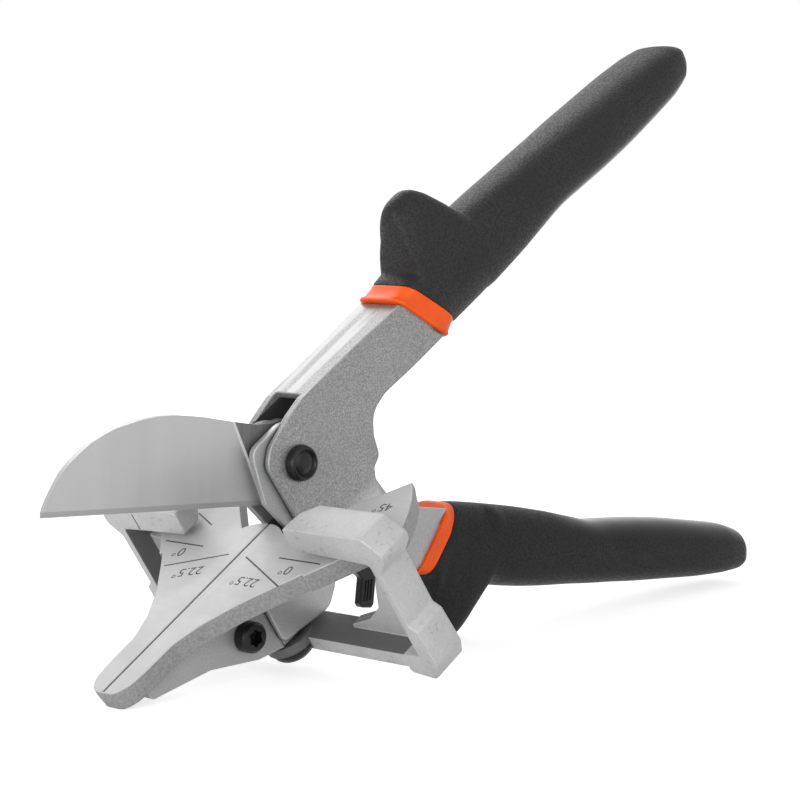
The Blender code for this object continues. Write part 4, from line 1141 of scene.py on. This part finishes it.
@dataclass
class Table:
    """The slotted table with its etched angle marks.

    Attributes:
        lines: Each line's start and end, along and across the table, in millimetres.
        labels: Each figure, its place in millimetres, its turn in degrees and its size.
    """

    shading: EvenShading
    line_width: float = 0.42 * MM
    ink_depth: float = 0.03 * MM
    ink_offset: float = -0.02 * MM
    groove_width: float = 0.9 * MM
    groove_gap: float = 0.02 * MM
    groove_front: float = 52.7 * MM
    groove_rear: float = -11.2 * MM
    groove_floor: float = -3.1 * MM
    groove_lip: float = -0.55 * MM
    heel_block_low: Sequence[float] = (-20 * MM, -2.5 * MM, -5 * MM)
    heel_block_high: Sequence[float] = (-11.5 * MM, 2.5 * MM, -1.3 * MM)
    lines: Sequence[tuple[Span, Span]] = (
        ((0.0, 14.5), (0.0, 29.6)), ((0.0, -14.8), (0.0, -29.9)),
        ((1.4, 3.3), (9.6, 23.2)), ((1.4, -3.3), (8.9, -21.6)),
        ((-8.0, 19.4), (-11.6, 28.2)), ((-8.0, -19.4), (-11.6, -28.2)),
    )
    labels: Sequence[tuple[str, float, float, float, float]] = (
        ("0°", 3.6, 20.5, 0.0, 4.5), ("0°", 3.1, -21.2, 6.0, 4.5),
        ("22.5°", 9.6, 10.8, 0.0, 4.5), ("22.5°", 9.5, -11.4, 19.0, 4.5),
        ("45°", -22.4, 32.2, 12.0, 4.2), ("45°", -22.4, -32.2, -12.0, 4.2),
    )

    def line(self, name: str, start: Span, end: Span) -> None:
        """Etch one line on the table's top.

        Args:
            name: The piece's name.
            start: Its start, in table millimetres.
            end: Its end.
        """
        low, high = Vector((*start, 0)) * MM, Vector((*end, 0)) * MM
        along = (high - low).normalized()
        half = Vector((-along.y, along.x, 0)) * self.line_width / 2
        ring = [low - half, high - half, high + half, low + half]
        rings = [[point + Vector((0, 0, level)) for point in ring]
                 for level in (-self.ink_depth, self.ink_depth)]
        Maker.place(name, Maker.skin(rings), INK, Body.UPPER, PLACE.table())

    def label(self, name: str, text: str, x: float, y: float, turn: float, size: float) -> None:
        """Etch one angle figure, read from behind the handles.

        Args:
            name: The piece's name.
            text: The figure.
            x: Its centre along the groove, in millimetres.
            y: Its centre across, in millimetres.
            turn: Its turn in degrees.
            size: Its size, in millimetres.
        """
        curve = bpy.data.curves.new(name, "FONT")
        curve.body = text
        curve.size = size * MM
        curve.align_x = "CENTER"
        curve.align_y = "CENTER"
        curve.offset = self.ink_offset
        curve.extrude = self.ink_depth
        curve.materials.append(INK.build())
        piece = stand(name, curve)
        spin = Matrix.Rotation(math.radians(turn - 90), 4, "Z")
        at = Matrix.Translation(Vector((x * MM, y * MM, 0)))
        piece.matrix_world = PLACE.table() @ at @ spin
        Maker.mount(piece, INK, Body.UPPER)

    def inlay(self, name: str, low: Sequence[float], high: Sequence[float]) -> None:
        """Lay a black block into the table, between two corners."""
        block = Maker.block(Vector(low), Vector(high))
        Maker.place(name, block, GROOVE_BLACK, Body.UPPER, PLACE.table())

    def build(self) -> None:
        """Dress the table, put painted shade in its groove, add a black block under the heel and
        mark the angles.
        """
        self.shading.dress("anvil_table", TABLE_TOP)
        self.shading.dress("table_shoe", SMOOTH_PAINT)
        # painted shade: a black block fills the groove below its lips
        half = self.groove_width / 2 - self.groove_gap
        self.inlay("groove_painted_shade", (self.groove_rear, -half, self.groove_floor),
                   (self.groove_front, half, self.groove_lip))
        # a black block under the blade's heel, behind the table
        self.inlay("heel_black_block", self.heel_block_low, self.heel_block_high)
        for index, line in enumerate(self.lines):
            self.line(f"angle_line_{index}", *line)
        for index, label in enumerate(self.labels):
            self.label(f"angle_figure_{index}", *label)


# Head


@dataclass
class Channels:
    """Both pressed channels, with their rivets, pins, pivot and inner parts.

    Attributes:
        flank: The bolt head's side, as shares of its radius and of its height.
        rim_middle: The middle of its rounded rim, in the same shares.
        rim_radii: The rim's radii.
        dish: Its dished face.
    """

    shading: EvenShading
    bolt_seat: float = 6.9 * MM
    bolt_top: float = 9.4 * MM
    bolt_radius: float = 4.7 * MM
    shank_radius: float = 3.0 * MM
    flank: Sequence[Span] = ((0.97, 0.0), (1.0, 0.08), (1.0, 0.3))
    rim_middle: Span = (0.80, 0.42)
    rim_radii: Span = (0.17, 0.58)
    rim_angles: Sequence[int] = (0, 15, 30, 45, 60, 75, 90)
    dish: Sequence[Span] = ((0.75, 0.97), (0.72, 0.80), (0.66, 0.72), (0.60, 0.80),
                            (0.56, 0.86), (0.2, 0.90))
    painted: Sequence[str] = ("upper_channel", "lower_channel", "table_rivet_front",
                              "table_rivet_rear", "blade_rivet_upper", "blade_rivet_lower",
                              "spring_pin")
    black: Sequence[str] = ("pivot_nut", "table_nut", "catch_stud", "latch_pin",
                            "swivel_stud", "dome_nut", "table_screw")
    plain: Sequence[str] = ("opening_spring", "blade_spacer_left", "blade_spacer_right")

    def make_pivot_bolt(self) -> None:
        """Turn the pivot bolt: a low head with a rounded rim and a dished face."""
        seat, top, shank = self.bolt_seat, self.bolt_top, self.shank_radius
        (middle, level), (width, height) = self.rim_middle, self.rim_radii
        rim = [(middle + width * math.cos(angle), level + height * math.sin(angle))
               for angle in map(math.radians, self.rim_angles)]
        profile = [(0.6 * shank, -top), (0.9 * shank, -top), (shank, -top + 0.1 * shank),
                   (shank, seat)]
        profile += [(share * self.bolt_radius, seat + rise * (top - seat))
                    for share, rise in (*self.flank, *rim, *self.dish)]
        piece = Maker.place("pivot_bolt_turned", Maker.turned(profile), OXIDE, Body.UPPER,
                            PLACE.upper(), 40)
        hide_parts("pivot_bolt")

    def build(self) -> None:
        """Make the pivot bolt, and dress the channels and what they hold."""
        self.make_pivot_bolt()
        for node in self.painted:
            self.shading.dress(node, SMOOTH_PAINT if node == "lower_channel" else PAINT)
        for node in self.black:
            self.shading.dress(node, OXIDE)
        for node in self.plain:
            self.shading.dress(node, SPRING_STEEL)
        self.shading.dress("swivel_washer", DARK_STEEL)
        self.shading.dress("fence_bush", BRASS)


@dataclass
class Latch:
    """The latch's lever, ribbed on both sides where the fingers push it.

    Attributes:
        section: A rib's corners, as shares of its half width and of its rise.
    """

    shading: EvenShading
    ribs: Sequence[float] = (23.9 * MM, 24.9 * MM, 25.9 * MM)
    foot: float = 14.7 * MM
    head: float = 20.1 * MM
    lean: float = 0.82 * MM
    side: float = 1.3 * MM
    half: float = 0.26 * MM
    rise: float = 0.3 * MM
    section: Sequence[Span] = ((-1.0, -1.0), (-0.6, 1.0), (0.6, 1.0), (1.0, -1.0))

    def build(self) -> None:
        """Dress the lever and raise its ribs."""
        self.shading.dress("latch_lever", OXIDE)
        for turn, label in ((1, "left"), (-1, "right")):
            for index, along in enumerate(self.ribs):
                rings = [[Vector((x + dx * self.half, turn * (self.side + dy * self.rise), z))
                          for dx, dy in self.section]
                         for x, z in ((along, self.foot), (along - self.lean, self.head))]
                Maker.place(f"latch_rib_{label}_{index}", Maker.skin(rings), OXIDE, Body.LATCH,
                            Matrix.Identity(4))


@dataclass
class BladeSet:
    """The drop blade."""

    shading: EvenShading

    def build(self) -> None:
        """Dress the blade."""
        self.shading.dress("blade", BLADE_STEEL)


@dataclass
class Fence:
    """The swivelling cast fence with its setting mark."""

    shading: EvenShading
    face: float = -0.6 * MM
    mark_at: float = -39.8 * MM
    mark_half: float = 0.2 * MM
    mark_depth: float = 0.03 * MM
    mark_low: float = 2.0 * MM
    mark_high: float = 7.1 * MM

    def build(self) -> None:
        """Dress the fence and cut its mark."""
        self.shading.dress("mitre_fence", CAST)
        low = Vector((self.face - self.mark_depth, self.mark_at - self.mark_half, self.mark_low))
        high = Vector((self.face + self.mark_depth, self.mark_at + self.mark_half,
                       self.mark_high))
        Maker.place("fence_mark", Maker.block(low, high), INK, Body.FENCE, PLACE.table())


# Studio


@dataclass
class Studio:
    """A plain pale floor, soft light and the photograph's viewpoint.

    Attributes:
        camera_at: The camera's place in the table's frame, in millimetres.
        soft_light: Strength of the surround on the tool.
        lamps: Each lamp's name, its place and side in metres, and its power in watts.
    """

    camera_at: Sequence[float] = (294.7335, 489.8882, 307.7658)
    camera_right: Sequence[float] = (-0.5961434, 0.6938567, -0.4039503)
    camera_up: Sequence[float] = (-0.6048432, -0.0572480, 0.7942842)
    camera_back: Sequence[float] = (0.5279941, 0.7178339, 0.4538025)
    lens: float = 116.0534
    sensor: float = 36.0
    near_clip: float = 0.01
    floor_half: float = 3.0
    floor_colour: Sequence[float] = (0.75, 0.75, 0.75, 1)
    floor_glow: float = 0.66
    soft_light: float = 0.50
    aim: Sequence[float] = (0, 0, 0.05)
    lamps: Sequence[tuple[str, Sequence[float], float, float]] = (
        ("rear_lamp", (-0.25, -0.82, 0.76), 0.8, 4.4),
        ("side_lamp", (0.2, 1.15, 0.5), 0.9, 4.2),
        ("front_lamp", (1.2, 0.25, 0.08), 0.9, 12.0),
    )

    def camera(self) -> None:
        """Stand the camera at the photograph's viewpoint."""
        data = bpy.data.cameras.new("camera")
        data.lens = self.lens
        data.sensor_width = self.sensor
        data.sensor_fit = "HORIZONTAL"
        data.clip_start = self.near_clip
        camera = stand("camera", data)
        turn = Matrix((self.camera_right, self.camera_up, self.camera_back)).transposed().to_4x4()
        at = Matrix.Translation(Vector(self.camera_at) * MM)
        camera.matrix_world = PLACE.table() @ at @ turn
        bpy.context.scene.camera = camera

    def lamp(self, name: str, at: Vector, size: float, power: float) -> None:
        """Hang one soft square lamp that looks at the tool.

        Args:
            name: The lamp's name.
            at: Its place in metres.
            size: Its side in metres.
            power: Its power in watts.
        """
        data = bpy.data.lights.new(name, "AREA")
        data.shape = "SQUARE"
        data.size = size
        data.energy = power
        lamp = stand(name, data)
        lamp.location = at
        lamp.rotation_mode = "QUATERNION"
        lamp.rotation_quaternion = (Vector(self.aim) - at).to_track_quat("-Z", "Y")

    def floor(self) -> None:
        """Lay the floor: pale, nearly white to the camera, and holding a soft shadow."""
        solid = bmesh.new()
        bmesh.ops.create_grid(solid, x_segments=2, y_segments=2, size=self.floor_half)
        mesh = bpy.data.meshes.new("floor")
        solid.to_mesh(mesh)
        solid.free()
        material = bpy.data.materials.new("pale_floor")
        tree = Tree.cleared(material)
        share = tree.operate("MULTIPLY", tree.background_rays(), self.floor_glow)
        matt = tree.node("ShaderNodeBsdfDiffuse", Color=self.floor_colour)
        glow = tree.node("ShaderNodeEmission", Color=WHITE, Strength=share)
        total = tree.node("ShaderNodeAddShader", matt.outputs[0], glow.outputs[0])
        tree.node("ShaderNodeOutputMaterial", Surface=total.outputs[0])
        mesh.materials.append(material)
        stand("floor", mesh)

    def sky(self) -> None:
        """Set an even pale surround: white to the camera, softer on the tool."""
        world = bpy.data.worlds.new("surround")
        bpy.context.scene.world = world
        tree = Tree.cleared(world)
        soft, seen = (tree.node("ShaderNodeBackground", Color=WHITE, Strength=strength)
                      for strength in (self.soft_light, 1.0))
        mix = tree.node("ShaderNodeMixShader", tree.background_rays(), soft.outputs[0],
                        seen.outputs[0])
        tree.node("ShaderNodeOutputWorld", Surface=mix.outputs[0])

    def build(self) -> None:
        """Set up the floor, the light and the camera."""
        self.floor()
        self.sky()
        for name, at, size, power in self.lamps:
            self.lamp(name, Vector(at), size, power)
        self.camera()
        bpy.context.scene.view_settings.view_transform = "Standard"
        LOG.info("set up the studio")


def main() -> None:
    """Build the looks in order."""
    logging.basicConfig(level=logging.INFO, format="%(name)s: %(message)s")
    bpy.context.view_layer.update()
    shading = EvenShading()
    Channels(shading).build()
    Latch(shading).build()
    BladeSet(shading).build()
    Table(shading).build()
    Fence(shading).build()
    MouldedGrip("upper", Body.UPPER, PLACE.upper(), 1, axis_w=6.4 * MM, collar_at=54.0 * MM,
                horn_behind=18.9 * MM).build()
    MouldedGrip("lower", Body.LOWER, PLACE.lower(), -1, axis_w=19.6 * MM, collar_at=48.5 * MM,
                horn_behind=15.4 * MM, collar_width=4.9 * MM, horn_rear_length=9.4 * MM).build()
    Studio().build()


if __name__ == "__main__":
    main()
